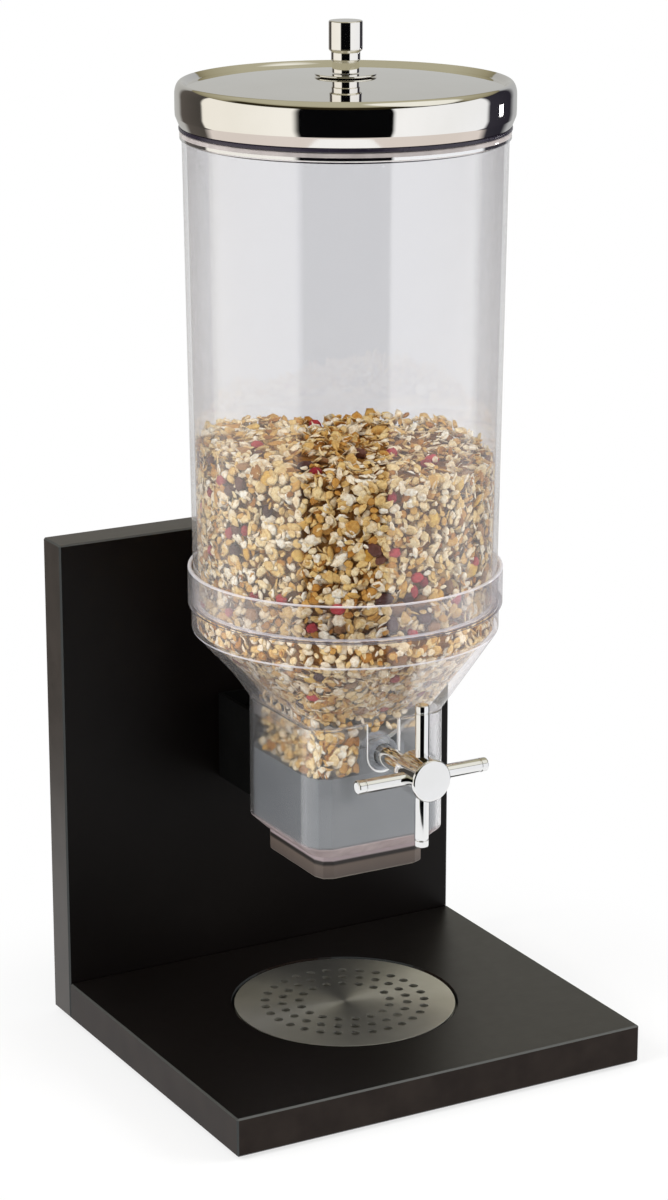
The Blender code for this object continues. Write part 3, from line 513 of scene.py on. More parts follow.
canister_polycarbonate = clear_wall(
    "canister_polycarbonate", ("#f7f7f8", "#f1f1f3"), (0.056, 0.55), (0.0, 0.22), "#f8f6f4"
)
hopper_polycarbonate = clear_wall(
    "hopper_polycarbonate", ("#fdfcfd", "#f3f1f5"), (0.045, 0.6), (0.006, 0.18), "#f8f5f6"
)
print("clear walls:", canister_polycarbonate.name, hopper_polycarbonate.name)

# %% [markdown]
# Where the moulding is thick, an edge gathers light as a lens and a prism do, and under a step it
# looks dark. Drawing that needs many passes of real glass, so each such edge gets its own mix of the
# same four layers, with the light and the shade painted in: the bead round the canister's mouth, the
# rims of the hopper, its step, and the cut faces of the outlet. A pale haze is painted light on the
# bead's lens, the rims and the cut faces, a dark tint is painted shade under the step, and the bead's
# prism is a strong mirror.

# %% Thick edges of the clear mouldings
# Painted light: the pale pinkish haze of the bead's lens.
bead_lens_painted_light = clear_wall("bead_lens_painted_light", ("#efe9e6", "#d9d4d4"), (0.06, 0.8), (0.55, 0.7), "#ddd3cf")
bead_prism = clear_wall("bead_prism", ("#f4f4f4", "#d9dadc"), (0.88, 0.95), (0.0, 0.0), "#ffffff")
# Painted highlight: a near-white haze on the hopper's rims and the canister's foot.
hopper_rim_highlight = clear_wall("hopper_rim_highlight", ("#f4f2f6", "#e4e1e8"), (0.1, 0.8), (0.42, 0.7), "#fbf8fd")
# Painted shade: a dark tint under the hopper's step.
hopper_step_shade = clear_wall("hopper_step_shade", ("#8d888e", "#a5a0a8"), (0.1, 0.8), (0.1, 0.3), "#b7b0b8")
# Painted highlight: a near-white haze on the outlet's cut faces.
cut_edge_highlight = clear_wall("cut_edge_highlight", ("#f4f4f6", "#e4e4e8"), (0.1, 0.8), (0.8, 0.9), "#ffffff")
satin_foot = clear_wall("satin_foot", ("#efe6e7", "#d9cfd0"), (0.04, 0.4), (0.4, 0.6), "#d6c9c9")
for edge in (bead_lens_painted_light, bead_prism, hopper_rim_highlight, hopper_step_shade, cut_edge_highlight, satin_foot):
    print("edge:", edge.name)

# %% [markdown]
# The outlet housing is the same plastic with a satin inside, which blurs what is behind it. That
# needs a refracting shader with some roughness. Such a shader keeps lamps out, so shadow and diffuse
# rays are let straight through. A thin share of white is the light that the satin surface itself
# scatters, and a glossy coat is its polished outside.


# %% Satin polycarbonate
def satin_wall(name, tint, roughness, milk_share, milk_colour):
    """Refracting plastic that blurs. milk_share is how much light its surface scatters."""
    made, tree, out = blank(name)
    etched = {"Value": cloudy(tree, 12, 4), "To Min": roughness[0], "To Max": roughness[1]}
    grain = {"Height": cloudy(tree, 0.8, 2), "Distance": 0.01 * MM, "Strength": 1.0}
    settings = {
        "Base Color": linear(tint),
        "Roughness": node(tree, "ShaderNodeMapRange", etched).outputs["Result"],
        "IOR": 1.49,
        "Transmission Weight": 1.0,
        "Coat Weight": 0.6,
        "Coat Roughness": 0.03,
        "Normal": node(tree, "ShaderNodeBump", grain).outputs["Normal"],
    }
    scattered_light = {
        "Value": cloudy(tree, 16, 3),
        "To Min": milk_share * 0.8,
        "To Max": milk_share * 1.2,
    }
    milky = node(tree, "ShaderNodeMapRange", scattered_light).outputs["Result"]
    blur = node(tree, "ShaderNodeBsdfPrincipled", settings)
    milk = node(tree, "ShaderNodeBsdfDiffuse", {"Color": linear(milk_colour)})
    through = node(tree, "ShaderNodeBsdfTransparent", {"Color": linear(LET_THROUGH)})
    seen = blur.outputs["BSDF"]
    for amount, layer in ((milky, milk), (lamp_ray(tree), through)):
        mixed = {"Fac": amount, 1: seen, 2: layer.outputs["BSDF"]}
        seen = node(tree, "ShaderNodeMixShader", mixed).outputs["Shader"]
    tree.links.new(seen, out.inputs["Surface"])
    return made


satin_polycarbonate = satin_wall("satin_polycarbonate", "#f8f8fa", (0.2, 0.24), 0.02, "#e6e2e0")
print("satin wall:", satin_polycarbonate.name)

# %% [markdown]
# The grey insert, the seal and the foot pads are ordinary moulded plastics: ABS, a soft elastomer
# and rubber, and the wheel is silicone. Mould steel is spark-eroded, so their skins carry a grain of
# about half a millimetre, drawn here a little coarser than life so that it shows. The bushes are
# natural nylon, which is translucent and so made as one more clear wall with much haze.


# %% Moulded plastics
def moulded(name, dark, light, roughness, grain_mm=0.6, depth_mm=0.02, sheen=0.0):
    """A moulded plastic or rubber: slow colour drift, and an eroded grain."""
    made, tree, out = blank(name)
    drift = ((0.3, dark), (0.7, light))
    colour = node(tree, "ShaderNodeValToRGB", {"Fac": cloudy(tree, 18, 4)}, drift)
    worn = {"Value": cloudy(tree, 5), "To Min": roughness[0], "To Max": roughness[1]}
    grain = {"Height": cloudy(tree, grain_mm, 2), "Distance": depth_mm * MM, "Strength": 1.0}
    settings = {
        "Base Color": colour.outputs["Color"],
        "Roughness": node(tree, "ShaderNodeMapRange", worn).outputs["Result"],
        "Normal": node(tree, "ShaderNodeBump", grain).outputs["Normal"],
        "Sheen Weight": sheen,
    }
    shader = node(tree, "ShaderNodeBsdfPrincipled", settings)
    tree.links.new(shader.outputs["BSDF"], out.inputs["Surface"])
    return made


grey_abs = moulded("grey_abs", "#63686c", "#6e7276", (0.4, 0.5))
seal_elastomer = moulded("seal_elastomer", "#1d1826", "#2a2433", (0.22, 0.32))
pale_silicone = moulded("pale_silicone", "#c9cac6", "#d6d7d3", (0.45, 0.6), sheen=0.2)
black_rubber = moulded("black_rubber", "#151515", "#1f1f1f", (0.7, 0.9), 0.4, 0.04)
black_powder_coat = moulded("black_powder_coat", "#030303", "#070707", (0.7, 0.85), 0.5, 0.03)
for material, gloss in ((grey_abs, 0.3), (black_powder_coat, 0.15)):
    shader = material.node_tree.nodes["Principled BSDF"]
    shader.inputs["Specular IOR Level"].default_value = gloss
natural_nylon = clear_wall(
    "natural_nylon", ("#f1f2f5", "#dcdfe5"), (0.05, 0.5), (0.14, 0.5), "#dde2ea"
)
print("moulded:", grey_abs.name, seal_elastomer.name, pale_silicone.name, natural_nylon.name)

# %% [markdown]
# The insert ends below the housing as a dark spout. It is pinkish where the clear housing ends, and
# brown below, with a dark line of painted shade between the two and a painted highlight along its
# bottom edge. These bands lie level, so a ramp up the spout colours them, and above it the plain grey
# takes over.

# %% Painted shade and highlight on the spout of the grey insert
FOOT_TAPER = 6.0 * MM
HOUSING_LOW = low("outlet_housing").z
TAPER_Z = HOUSING_LOW + FOOT_TAPER
# From the bottom up: a painted highlight, brown, a dark line of painted shade, then the pinkish band.
SPOUT_STOPS = (
    (0.00, "#99928a"),
    (0.06, "#524944"),
    (0.36, "#5f544d"),
    (0.42, "#262220"),
    (0.49, "#2a2624"),
    (0.53, "#9b8d8f"),
    (0.95, "#a89b9d"),
    (1.00, "#60656a"),
)

tree = grey_abs.node_tree
shader = tree.nodes["Principled BSDF"]
plain_grey = shader.inputs["Base Color"].links[0].from_socket
level = node(tree, "ShaderNodeSeparateXYZ", {"Vector": place_of(tree)}).outputs["Z"]
limits = {"Value": level, "From Min": low("rotor_cradle").z, "From Max": TAPER_Z}
up_spout = node(tree, "ShaderNodeMapRange", limits).outputs["Result"]
spout_bands_and_shade = node(tree, "ShaderNodeValToRGB", {"Fac": up_spout}, SPOUT_STOPS).outputs["Color"]
is_body = node(tree, "ShaderNodeMath", {0: level, 1: TAPER_Z}, operation="GREATER_THAN")
either = {"Factor": is_body.outputs["Value"], "A": spout_bands_and_shade, "B": plain_grey}
spout_or_body = node(tree, "ShaderNodeMix", either, data_type="RGBA")
tree.links.new(spout_or_body.outputs["Result"], shader.inputs["Base Color"])
print("spout height in mm:", round((TAPER_Z - low("rotor_cradle").z) / MM, 1))

# %% [markdown]
# ## Boards
# The stand is 19 mm board with a black satin melamine face. The face is a printed paper under a
# pressed resin, so it is smooth, but the press plate leaves shallow long pores along the board.
# The narrow faces are closed with a strip of edging, which is never quite as black as the face. A
# bevel-width strip of paler grey is painted along every arris as a highlight.
#
# One material serves each board, so its shader has to know which face it is on. The surface's
# normal tells: it looks along one axis on a face, and between two axes on an arris. Faces that look
# up get the most gloss, because the eye sees them almost along the surface.

# %% Which face of a board the shader is on
TOP_GLOSS = 1.0


def board_masks(tree, across):
    """Three masks for a board whose broad faces look along across: edging, arris and top."""
    normal = node(tree, "ShaderNodeTexCoord").outputs["Normal"]
    parts = node(tree, "ShaderNodeSeparateXYZ", {"Vector": normal}).outputs
    absolute = {}
    for axis in "XYZ":
        made = node(tree, "ShaderNodeMath", {0: parts[axis]}, operation="ABSOLUTE")
        absolute[axis] = made.outputs["Value"]
    is_edging = node(tree, "ShaderNodeMath", {0: absolute[across], 1: 0.5}, operation="LESS_THAN")
    is_top = node(tree, "ShaderNodeMath", {0: parts["Z"], 1: 0.5}, operation="GREATER_THAN")
    largest = absolute["X"]
    for axis in "YZ":
        pair = {0: largest, 1: absolute[axis]}
        largest = node(tree, "ShaderNodeMath", pair, operation="MAXIMUM").outputs["Value"]
    limits = {"Value": largest, "From Min": 0.97, "From Max": 0.9}
    arris = node(tree, "ShaderNodeMapRange", limits)
    return is_edging.outputs["Value"], arris.outputs["Result"], is_top.outputs["Value"]


# %% Black melamine board
PORE_MM = 1.4
PAPER = ("#070403", "#0b0706")
# Painted highlight: the paler grey laid along every arris.
ARRIS_HIGHLIGHT = "#3a3c3c"


def melamine(name, across, strip, roughness, gloss, pore_stretch):
    """Black board. strip is the edging's colours, gloss is that of a face and of the edging."""
    made, tree, out = blank(name)
    is_edging, arris, is_top = board_masks(tree, across)
    paper_stops = ((0.3, PAPER[0]), (0.7, PAPER[1]))
    strip_stops = ((0.3, strip[0]), (0.7, strip[1]))
    paper = node(tree, "ShaderNodeValToRGB", {"Fac": cloudy(tree, 40, 5)}, paper_stops)
    edging = node(tree, "ShaderNodeValToRGB", {"Fac": cloudy(tree, 12, 4)}, strip_stops)
    colour = paper.outputs["Color"]
    for mask, layer in ((is_edging, edging.outputs["Color"]), (arris, linear(ARRIS_HIGHLIGHT))):
        pair = {"Factor": mask, "A": colour, "B": layer}
        colour = node(tree, "ShaderNodeMix", pair, data_type="RGBA").outputs["Result"]
    upright = {"Value": is_edging, "To Min": gloss[0], "To Max": gloss[1]}
    upright_gloss = node(tree, "ShaderNodeMapRange", upright).outputs["Result"]
    glosses = {"Value": is_top, "To Min": upright_gloss, "To Max": TOP_GLOSS}
    satin = {"Value": cloudy(tree, 6, 4), "To Min": roughness[0], "To Max": roughness[1]}
    pores = cloudy(tree, PORE_MM, 3, pore_stretch)
    relief = {"Height": pores, "Distance": 0.03 * MM, "Strength": 0.5}
    settings = {
        "Base Color": colour,
        "Roughness": node(tree, "ShaderNodeMapRange", satin).outputs["Result"],
        "Specular IOR Level": node(tree, "ShaderNodeMapRange", glosses).outputs["Result"],
        "Normal": node(tree, "ShaderNodeBump", relief).outputs["Normal"],
    }
    shader = node(tree, "ShaderNodeBsdfPrincipled", settings)
    tree.links.new(shader.outputs["BSDF"], out.inputs["Surface"])
    return made


panel_melamine = melamine(
    "panel_melamine", "Y", ("#2a2521", "#342e2a"), (0.38, 0.46), (0.15, 0.45), (1, 1, 0.06)
)
base_melamine = melamine(
    "base_melamine", "Z", ("#1d1613", "#27201c"), (0.31, 0.41), (0.2, 0.10), (0.06, 1, 1)
)
print("boards:", panel_melamine.name, base_melamine.name)

# %% [markdown]
# Two beech dowels hold the boards together. They are hidden in the joint, but whoever lifts a board
# away sees them, so they get a plain pale wood with its grain along the dowel.

# %% Beech
beech_dowel, tree, out = blank("beech_dowel")
grain = cloudy(tree, 1.2, 4, (1, 0.1, 1))
beech_stops = ((0.3, "#b08f62"), (0.7, "#cdb083"))
worn = {"Value": grain, "To Min": 0.55, "To Max": 0.7}
relief = {"Height": grain, "Distance": 0.1 * MM, "Strength": 1.0}
settings = {
    "Base Color": node(tree, "ShaderNodeValToRGB", {"Fac": grain}, beech_stops).outputs["Color"],
    "Roughness": node(tree, "ShaderNodeMapRange", worn).outputs["Result"],
    "Normal": node(tree, "ShaderNodeBump", relief).outputs["Normal"],
}
beech = node(tree, "ShaderNodeBsdfPrincipled", settings)
tree.links.new(beech.outputs["BSDF"], out.inputs["Surface"])
print("wood:", beech_dowel.name)

# %% [markdown]
# Some of the model's pieces are already drawn well enough: boards, brackets and screws are flat or
# small. They keep their shape and only get a finish, on every material slot they have.


# %% Give the model's own pieces their finish
def dress(material, *names):
    """Puts one material on every slot of the model's nodes."""
    for name in names:
        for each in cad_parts[name].material_slots:
            each.material = material


dress(panel_melamine, "back_panel")
dress(base_melamine, "base_board")
dress(beech_dowel, "dowel_left", "dowel_right")
dress(black_powder_coat, "wall_bracket")
dress(zinc_plate, "knob_screw")
dress(blackened_screw, "drive_pin", "shaft_clip", "hub_grub_screw")
for start, material in (
    ("foot_pad", black_rubber),
    ("wall_screw", blackened_screw),
    ("housing_screw", blackened_screw),
    ("panel_screw", zinc_plate),
):
    alike = [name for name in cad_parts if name.startswith(start)]
    dress(material, *alike)
    print(f"{start}: {len(alike)} pieces in {material.name}")

# %% [markdown]
# ## Turned and lofted shapes
# Almost every other piece is round. The model's solids have few facets, so that they pack fast, and
# a mirror finish shows each facet. So these pieces are made again at the same size, with more steps
# and with rounded corners. A profile is a short list of corners. One function rounds them, one
# turns the profile round the axis, and one stretches a skin over sections where a circle has to
# become a square.
#
# Smooth shading bends the light between two corners, so a long straight run gets an extra point
# close to each end: only the small rounding is shaded round, and the run stays straight.


# %% Round the corners of an outline
ARC_STEPS = 4
BRACE = 0.25 * MM


def braced(points, closed=True):
    """Adds a point near both ends of each long run. The points may be whole rings too."""
    points = [np.array(point, float) for point in points]
    made = []
    for i, here in enumerate(points):
        made.append(here)
        if i + 1 == len(points) and not closed:
            break
        there = points[(i + 1) % len(points)]
        length = np.max(np.linalg.norm(np.atleast_2d(there - here), axis=-1))
        if length > 5 * BRACE:
            step = (there - here) * BRACE / length
            made += [here + step, there - step]
    return made


def rounded(corners, radii):
    """A closed outline with each corner replaced by an arc of its radius."""
    points = []
    count = len(corners)
    for i, (corner, radius) in enumerate(zip(corners, radii)):
        here = np.array(corner, float)
        if radius <= 0:
            points.append(tuple(here))
            continue
        before = np.array(corners[i - 1], float) - here
        after = np.array(corners[(i + 1) % count], float) - here
        reach = min(radius, 0.49 * np.linalg.norm(before), 0.49 * np.linalg.norm(after))
        start = here + before / np.linalg.norm(before) * reach
        end = here + after / np.linalg.norm(after) * reach
        for step in range(ARC_STEPS + 1):
            t = step / ARC_STEPS
            points.append(tuple((1 - t) ** 2 * start + 2 * t * (1 - t) * here + t * t * end))
    return braced(points, corners[0][0] > 0)


print("each corner is drawn with", ARC_STEPS, "steps")


# %% Skin over sections, and turn a profile
TURN_STEPS = 160
WELD = 0.0015 * MM
SHARP = math.radians(40)


def skinned(sections, closed=True, caps=False):
    """A smooth mesh over equal rings of points. closed joins the last ring to the first."""
    rings = np.array(sections, float)
    count, around = rings.shape[:2]
    faces = []
    for i in range(count if closed else count - 1):
        j = (i + 1) % count
        for k in range(around):
            m = (k + 1) % around
            faces.append((i * around + k, i * around + m, j * around + m, j * around + k))
    if caps:
        faces.append(tuple(reversed(range(around))))
        faces.append(tuple(range((count - 1) * around, count * around)))
    mesh = bpy.data.meshes.new("skin")
    mesh.from_pydata(rings.reshape(-1, 3).tolist(), [], faces)
    made = bmesh.new()
    made.from_mesh(mesh)
    bmesh.ops.remove_doubles(made, verts=made.verts, dist=WELD)
    bmesh.ops.recalc_face_normals(made, faces=made.faces)
    made.to_mesh(mesh)
    made.free()
    mesh.shade_smooth()
    mesh.set_sharp_from_angle(angle=SHARP)
    return mesh


def lathe(profile, steps=TURN_STEPS):
    """A closed (radius, height) outline turned round Z. Points on the axis meet in one."""
    angles = np.arange(steps) / steps * math.tau
    sections = []
    for radius, height in profile:
        ring = np.stack(
            [radius * np.cos(angles), radius * np.sin(angles), np.full(steps, height)], 1
        )
        sections.append(ring)
    return skinned(sections, profile[0][0] > 0)


print("a turned piece has", TURN_STEPS, "steps round")

# %% [markdown]
# Everything is drawn round Z at the origin, and a matrix then carries it to its place: upright on
# the canister's axis, or laid down along the shaft. Each new piece says which of the model's nodes
# it stands for, what it is made of, and which body it rides on, so that it moves with the joints.

# %% Place a piece
UPRIGHT = Matrix.Translation((0, AXIS_Y, 0))
ALONG_SHAFT = Matrix.Translation((0, AXIS_Y, SHAFT_Z)) @ Matrix.Rotation(math.pi / 2, 4, "X")


def placed(name, mesh_data, material, body, replaced, matrix):
    """Links a mesh as a piece that rides on a body and stands for CAD nodes."""
    obj = bpy.data.objects.new(name, mesh_data)
    bpy.context.scene.collection.objects.link(obj)
    obj.data.transform(matrix)
    obj.data.materials.append(material)
    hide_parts(*replaced)
    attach(obj, body)
    print(f"{name}: {len(obj.data.polygons)} faces, stands for {', '.join(replaced)}")
    return obj


# %% [markdown]
# ## Lid, seal and knob
# The lid is one pressing: a lip that turns in at the bottom, a short upright band, a round
# shoulder, a raised rim and a very flat dome. It is drawn from outside to inside as one line of
# points, and a second line set in by the sheet's thickness closes it. The lip is drawn a little
# lower than the model's lid, because in the picture it closes right down on the canister.

# %% Heights and radii of the lid
LID_T = 0.9 * MM
RIM_H, RIM_R = 18.8 * MM, 75.2 * MM
VALLEY_DEEP, VALLEY_R = 2.3 * MM, 72.4 * MM
SHOULDER_H = 13.0 * MM
LIP_DROP, LIP_R = 1.2 * MM, 76.3 * MM
SCREW_BORE = 2.3 * MM
HEM = ((0.0, 0.0), (0.06, 0.3), (0.82, 4.1), (0.88, 4.4), (0.94, 4.8), (1.0, 7.5))

edge_z, lid_top = low("lid").z, low("knob_washer").z - GAP
rim_z, shoulder_z, lip_z = edge_z + RIM_H, edge_z + SHOULDER_H, edge_z - LIP_DROP
valley_z = rim_z - VALLEY_DEEP
lid_r = radius_of("lid")
print("lid radius in mm:", round(lid_r / MM, 2))


# %% Lid
def lid_skin(inset):
    """One side of the lid's sheet, from its lip to the hole for the knob's screw."""
    points = []
    for share, rise_mm in HEM:
        points.append((LIP_R + share * (lid_r - LIP_R) - inset, lip_z + rise_mm * MM))
    for turn in np.linspace(0, math.pi / 2, 9):
        radius = RIM_R + (lid_r - inset - RIM_R) * math.cos(turn)
        points.append((radius, shoulder_z + (rim_z - shoulder_z - inset) * math.sin(turn)))
    for share in (0.3, 0.6, 1.0):
        drop = VALLEY_DEEP * (3 * share**2 - 2 * share**3)
        points.append((RIM_R + (VALLEY_R - RIM_R) * share, rim_z - drop - inset))
    for share in np.linspace(0, 1, 14)[1:]:
        rise = (lid_top - valley_z) * (1 - (1 - share) ** 2)
        points.append((VALLEY_R + (SCREW_BORE - VALLEY_R) * share, valley_z + rise - inset))
    return points


placed(
    "pressed_lid",
    lathe(lid_skin(0) + lid_skin(LID_T)[::-1], steps=256),
    polished_stainless,
    "lid_body",
    ("lid",),
    UPRIGHT,
)

# %% [markdown]
# The seal is a soft ring that is plugged into the canister's mouth. Only its flange shows, as the
# dark line between lid and canister, and the lid's lip rests on it. It is turned like the rest, from
# an outline with its own small rounding at each corner.

# %% Seal under the lid
PLUG_R, PLUG_WALL = 72.5 * MM, 2.2 * MM
GRIP_R, GRIP_WALL = 75.2 * MM, 1.6 * MM

seal_low, seal_high = low("lid_seal").z, high("lid_seal").z
can_top = high("canister").z
flange_top = edge_z - GAP
seal_r = radius_of("lid_seal")
seal_outline = (
    (PLUG_R - PLUG_WALL, seal_low),
    (PLUG_R, seal_low),
    (PLUG_R, can_top + GAP),
    (seal_r, can_top + GAP),
    (seal_r, flange_top - LIP_DROP),
    (GRIP_R, flange_top - LIP_DROP),
    (GRIP_R, seal_high),
    (GRIP_R - GRIP_WALL, seal_high),
    (GRIP_R - GRIP_WALL, flange_top),
    (PLUG_R - PLUG_WALL, flange_top),
)
seal_rounding = [r * MM for r in (0.4, 0.5, 0.1, 0.6, 0.6, 0.1, 0.3, 0.3, 0.1, 0.4)]
placed(
    "soft_lid_seal",
    lathe(rounded(seal_outline, seal_rounding)),
    seal_elastomer,
    "lid_body",
    ("lid_seal",),
    UPRIGHT,
)

# %% [markdown]
# The knob is turned from bar: a slim neck, and a wider head to hold. A washer spreads its pull over
# the thin lid. The small chamfers catch the dark lines of the room, which makes the steps readable.

# %% Knob
NECK_R, FOOT_R = 6.7 * MM, 6.3 * MM
HEAD_H, FOOT_H = 13.5 * MM, 5.2 * MM

knob_z, knob_top = low("lid_knob").z, high("lid_knob").z
head_r = radius_of("lid_knob")
head_z, foot_z = knob_top - HEAD_H, knob_z + FOOT_H
knob_outline = (
    (0, knob_z),
    (FOOT_R, knob_z),
    (FOOT_R, foot_z),
    (NECK_R, foot_z + 0.5 * MM),
    (NECK_R, head_z - 0.6 * MM),
    (head_r, head_z + 0.4 * MM),
    (head_r, knob_top),
    (0, knob_top),
)
knob_rounding = [r * MM for r in (0, 0.15, 0.1, 0.2, 0.2, 0.5, 0.7, 0)]
placed(
    "turned_knob",
    lathe(rounded(knob_outline, knob_rounding), steps=96),
    polished_stainless,
    "lid_body",
    ("lid_knob",),
    UPRIGHT,
)

# %% Washer under the knob
washer_low, washer_high = low("knob_washer").z, high("knob_washer").z
washer_r = radius_of("knob_washer")
washer_outline = (
    (SCREW_BORE, washer_low),
    (washer_r, washer_low),
    (washer_r, washer_high),
    (SCREW_BORE, washer_high),
)
washer_rounding = [r * MM for r in (0.1, 0.4, 0.45, 0.1)]
placed(
    "turned_washer",
    lathe(rounded(washer_outline, washer_rounding), steps=96),
    polished_stainless,
    "lid_body",
    ("knob_washer",),
    UPRIGHT,
)

# %% [markdown]
# ## Canister and hopper
# The canister is a long, slightly tapered tube, open at both ends, with a bead round its mouth. It
# needs a real inner and outer wall, because each of them mirrors the room. The bead is thick: its
# upper part is a lens that shows the lid's lip, drawn as a pale pinkish haze of painted light, and its
# lower edge a small prism that mirrors the room. Its foot is a cut face, which looks pale from a
# painted highlight.

# %% Canister
CAN_WALL = 2.2 * MM
CAN_BOTTOM_R, CAN_TOP_R = 72.2 * MM, 75.2 * MM
BEAD_H = 3.9 * MM
PRISM_H = 1.9 * MM
CAN_FOOT_H = 0.9 * MM

can_low, bead_r = low("canister").z, radius_of("canister")
bead_low = can_top - BEAD_H
canister_outline = (
    (CAN_BOTTOM_R - CAN_WALL, can_low),
    (CAN_BOTTOM_R, can_low),
    (CAN_TOP_R, bead_low),
    (bead_r, bead_low + 0.4 * MM),
    (bead_r, bead_low + PRISM_H),
    (bead_r, can_top),
    (CAN_TOP_R - CAN_WALL, can_top),
)
canister_rounding = [r * MM for r in (0.6, 0.8, 0.2, 0.2, 0, 0.9, 0.6)]
canister = placed(
    "clear_canister",
    lathe(rounded(canister_outline, canister_rounding), steps=192),
    canister_polycarbonate,
    "canister_body",
    ("canister",),
    UPRIGHT,
)

# %% The canister's bead and foot
for material in (bead_lens_painted_light, bead_prism, hopper_rim_highlight):
    canister.data.materials.append(material)
SLOT_OF = {name: slot for slot, name in enumerate(canister.data.materials.keys())}
# The bead's lens gets painted light and the foot a painted highlight, the prism a strong mirror.
for face in canister.data.polygons:
    outer = Vector((face.center.x, face.center.y - AXIS_Y)).length > CAN_TOP_R - 0.5 * MM
    above = face.center.z - bead_low
    if outer and above > -0.2 * MM:
        face.material_index = SLOT_OF["bead_prism" if above < PRISM_H else "bead_lens_painted_light"]
    elif face.center.z < can_low + CAN_FOOT_H:
        face.material_index = SLOT_OF["hopper_rim_highlight"]
print("canister finishes:", ", ".join(SLOT_OF))

# %% [markdown]
# The hopper is one moulding: a collar that holds the canister, a step down to a narrower ring, and a
# cone that goes from a circle to a square with round corners. A lathe can't make that last part. So
# the hopper is a stack of rings with equal numbers of points, and a ring may be round or square.
# To draw a square one, its reach from the centre is worked out for each angle.


# %% Rings that are round or square
def square_reach(half, corner, angles):
    """How far a square with round corners reaches from its centre, at each angle."""
    c, s = np.abs(np.cos(angles)), np.abs(np.sin(angles))
    along, across = np.maximum(c, s), np.minimum(c, s)
    straight = half / along
    centre = half - corner
    middle = centre * (along + across)
    curved = middle + np.sqrt(np.maximum(middle**2 - 2 * centre**2 + corner**2, 0))
    return np.where(straight * across > centre, curved, straight)


AROUND = np.arange(TURN_STEPS) / TURN_STEPS * math.tau


def ring_at(reach, z):
    """A ring of points at a height, from a radius or from a reach for each angle."""
    reach = np.broadcast_to(reach, AROUND.shape)
    return np.stack([reach * np.cos(AROUND), reach * np.sin(AROUND), np.full(TURN_STEPS, z)], 1)


corner_share = square_reach(1, 0.2, np.pi / 4)
print(f"a square with rounded corners reaches {corner_share:.2f} half widths at its corners")

# %% Sizes of the hopper
HOPPER_WALL, COLLAR_WALL, SPIGOT_WALL = 2.2 * MM, 2.0 * MM, 2.0 * MM
RING_R, RING_H = 73.3 * MM, 12.0 * MM
SPIGOT_HALF, SPIGOT_CORNER = 35.0 * MM, 10.5 * MM
HOUSING_CORNER = 13.0 * MM
RIM_ROUND = 0.7 * MM

collar_r, collar_top = radius_of("hopper"), high("hopper").z
collar_bottom = can_low - SLIP - GAP
ring_bottom = collar_bottom - RING_H
housing_top, housing_half = high("outlet_housing").z, radius_of("outlet_housing")
spigot_low, seat = low("hopper").z, housing_top + GAP
in_r, ledge_r = collar_r - COLLAR_WALL, RING_R - HOPPER_WALL
flat_at_seat = square_reach(housing_half, HOUSING_CORNER, AROUND)
flat_out = square_reach(SPIGOT_HALF, SPIGOT_CORNER, AROUND)
flat_in = square_reach(SPIGOT_HALF - SPIGOT_WALL, SPIGOT_CORNER - SPIGOT_WALL, AROUND)
print("cone height in mm:", round((ring_bottom - seat) / MM, 1))

# %% Hopper
rim_rings = [
    ring_at(in_r, collar_top - RIM_ROUND),
    ring_at(in_r + 0.3 * RIM_ROUND, collar_top - 0.3 * RIM_ROUND),
    ring_at(in_r + RIM_ROUND, collar_top),
    ring_at(collar_r - RIM_ROUND, collar_top),
    ring_at(collar_r - 0.3 * RIM_ROUND, collar_top - 0.3 * RIM_ROUND),
    ring_at(collar_r, collar_top - RIM_ROUND),
]
step_rings = [
    ring_at(collar_r, collar_bottom + RIM_ROUND),
    ring_at(collar_r - 0.3 * RIM_ROUND, collar_bottom + 0.3 * RIM_ROUND),
    ring_at(collar_r - RIM_ROUND, collar_bottom),
    ring_at(RING_R, collar_bottom - 0.1 * MM),
]
cone_rings = [
    ring_at(RING_R, ring_bottom + RIM_ROUND),
    ring_at(RING_R - 0.4 * RIM_ROUND, ring_bottom - 0.3 * RIM_ROUND),
    ring_at(flat_at_seat, seat),
    ring_at(flat_out, seat),
    ring_at(flat_out, spigot_low),
]
inner_rings = [
    ring_at(flat_in, spigot_low),
    ring_at(flat_in, seat + HOPPER_WALL),
    ring_at(ledge_r, ring_bottom + HOPPER_WALL / 2),
    ring_at(ledge_r, collar_bottom + SLIP - RIM_ROUND),
    ring_at(ledge_r + RIM_ROUND / 2, collar_bottom + SLIP),
    ring_at(in_r, collar_bottom + SLIP),
]
hopper = placed(
    "clear_hopper",
    skinned(braced(rim_rings + step_rings + cone_rings + inner_rings)),
    hopper_polycarbonate,
    "hopper_body",
    ("hopper",),
    UPRIGHT,
)

# %% Painted highlight on the hopper's rims, painted shade on its step
for material in (hopper_rim_highlight, hopper_step_shade):
    hopper.data.materials.append(material)
SLOT_OF = {name: slot for slot, name in enumerate(hopper.data.materials.keys())}
for face in hopper.data.polygons:
    z = face.center.z
    # The rims get a painted highlight, the step a painted shade.
    if z > collar_top - 1.1 * RIM_ROUND or abs(z - ring_bottom) < RIM_ROUND:
        face.material_index = SLOT_OF["hopper_rim_highlight"]
    elif abs(z - collar_bottom) < RIM_ROUND:
        face.material_index = SLOT_OF["hopper_step_shade"]
print("hopper finishes:", ", ".join(SLOT_OF))

# %% [markdown]
# ## Outlet
# The housing is a square tube with round corners that draws in at its foot. It is a stack of square
# rings, like the hopper's spigot. Its foot is frosted, so it gets a paler finish of its own, and the
# grey insert shows through the satin walls above.

# %% Housing
HOUSING_WALL = 2.0 * MM
HOUSING_FOOT_HALF, HOUSING_FOOT_CORNER = 31.7 * MM, 10.35 * MM

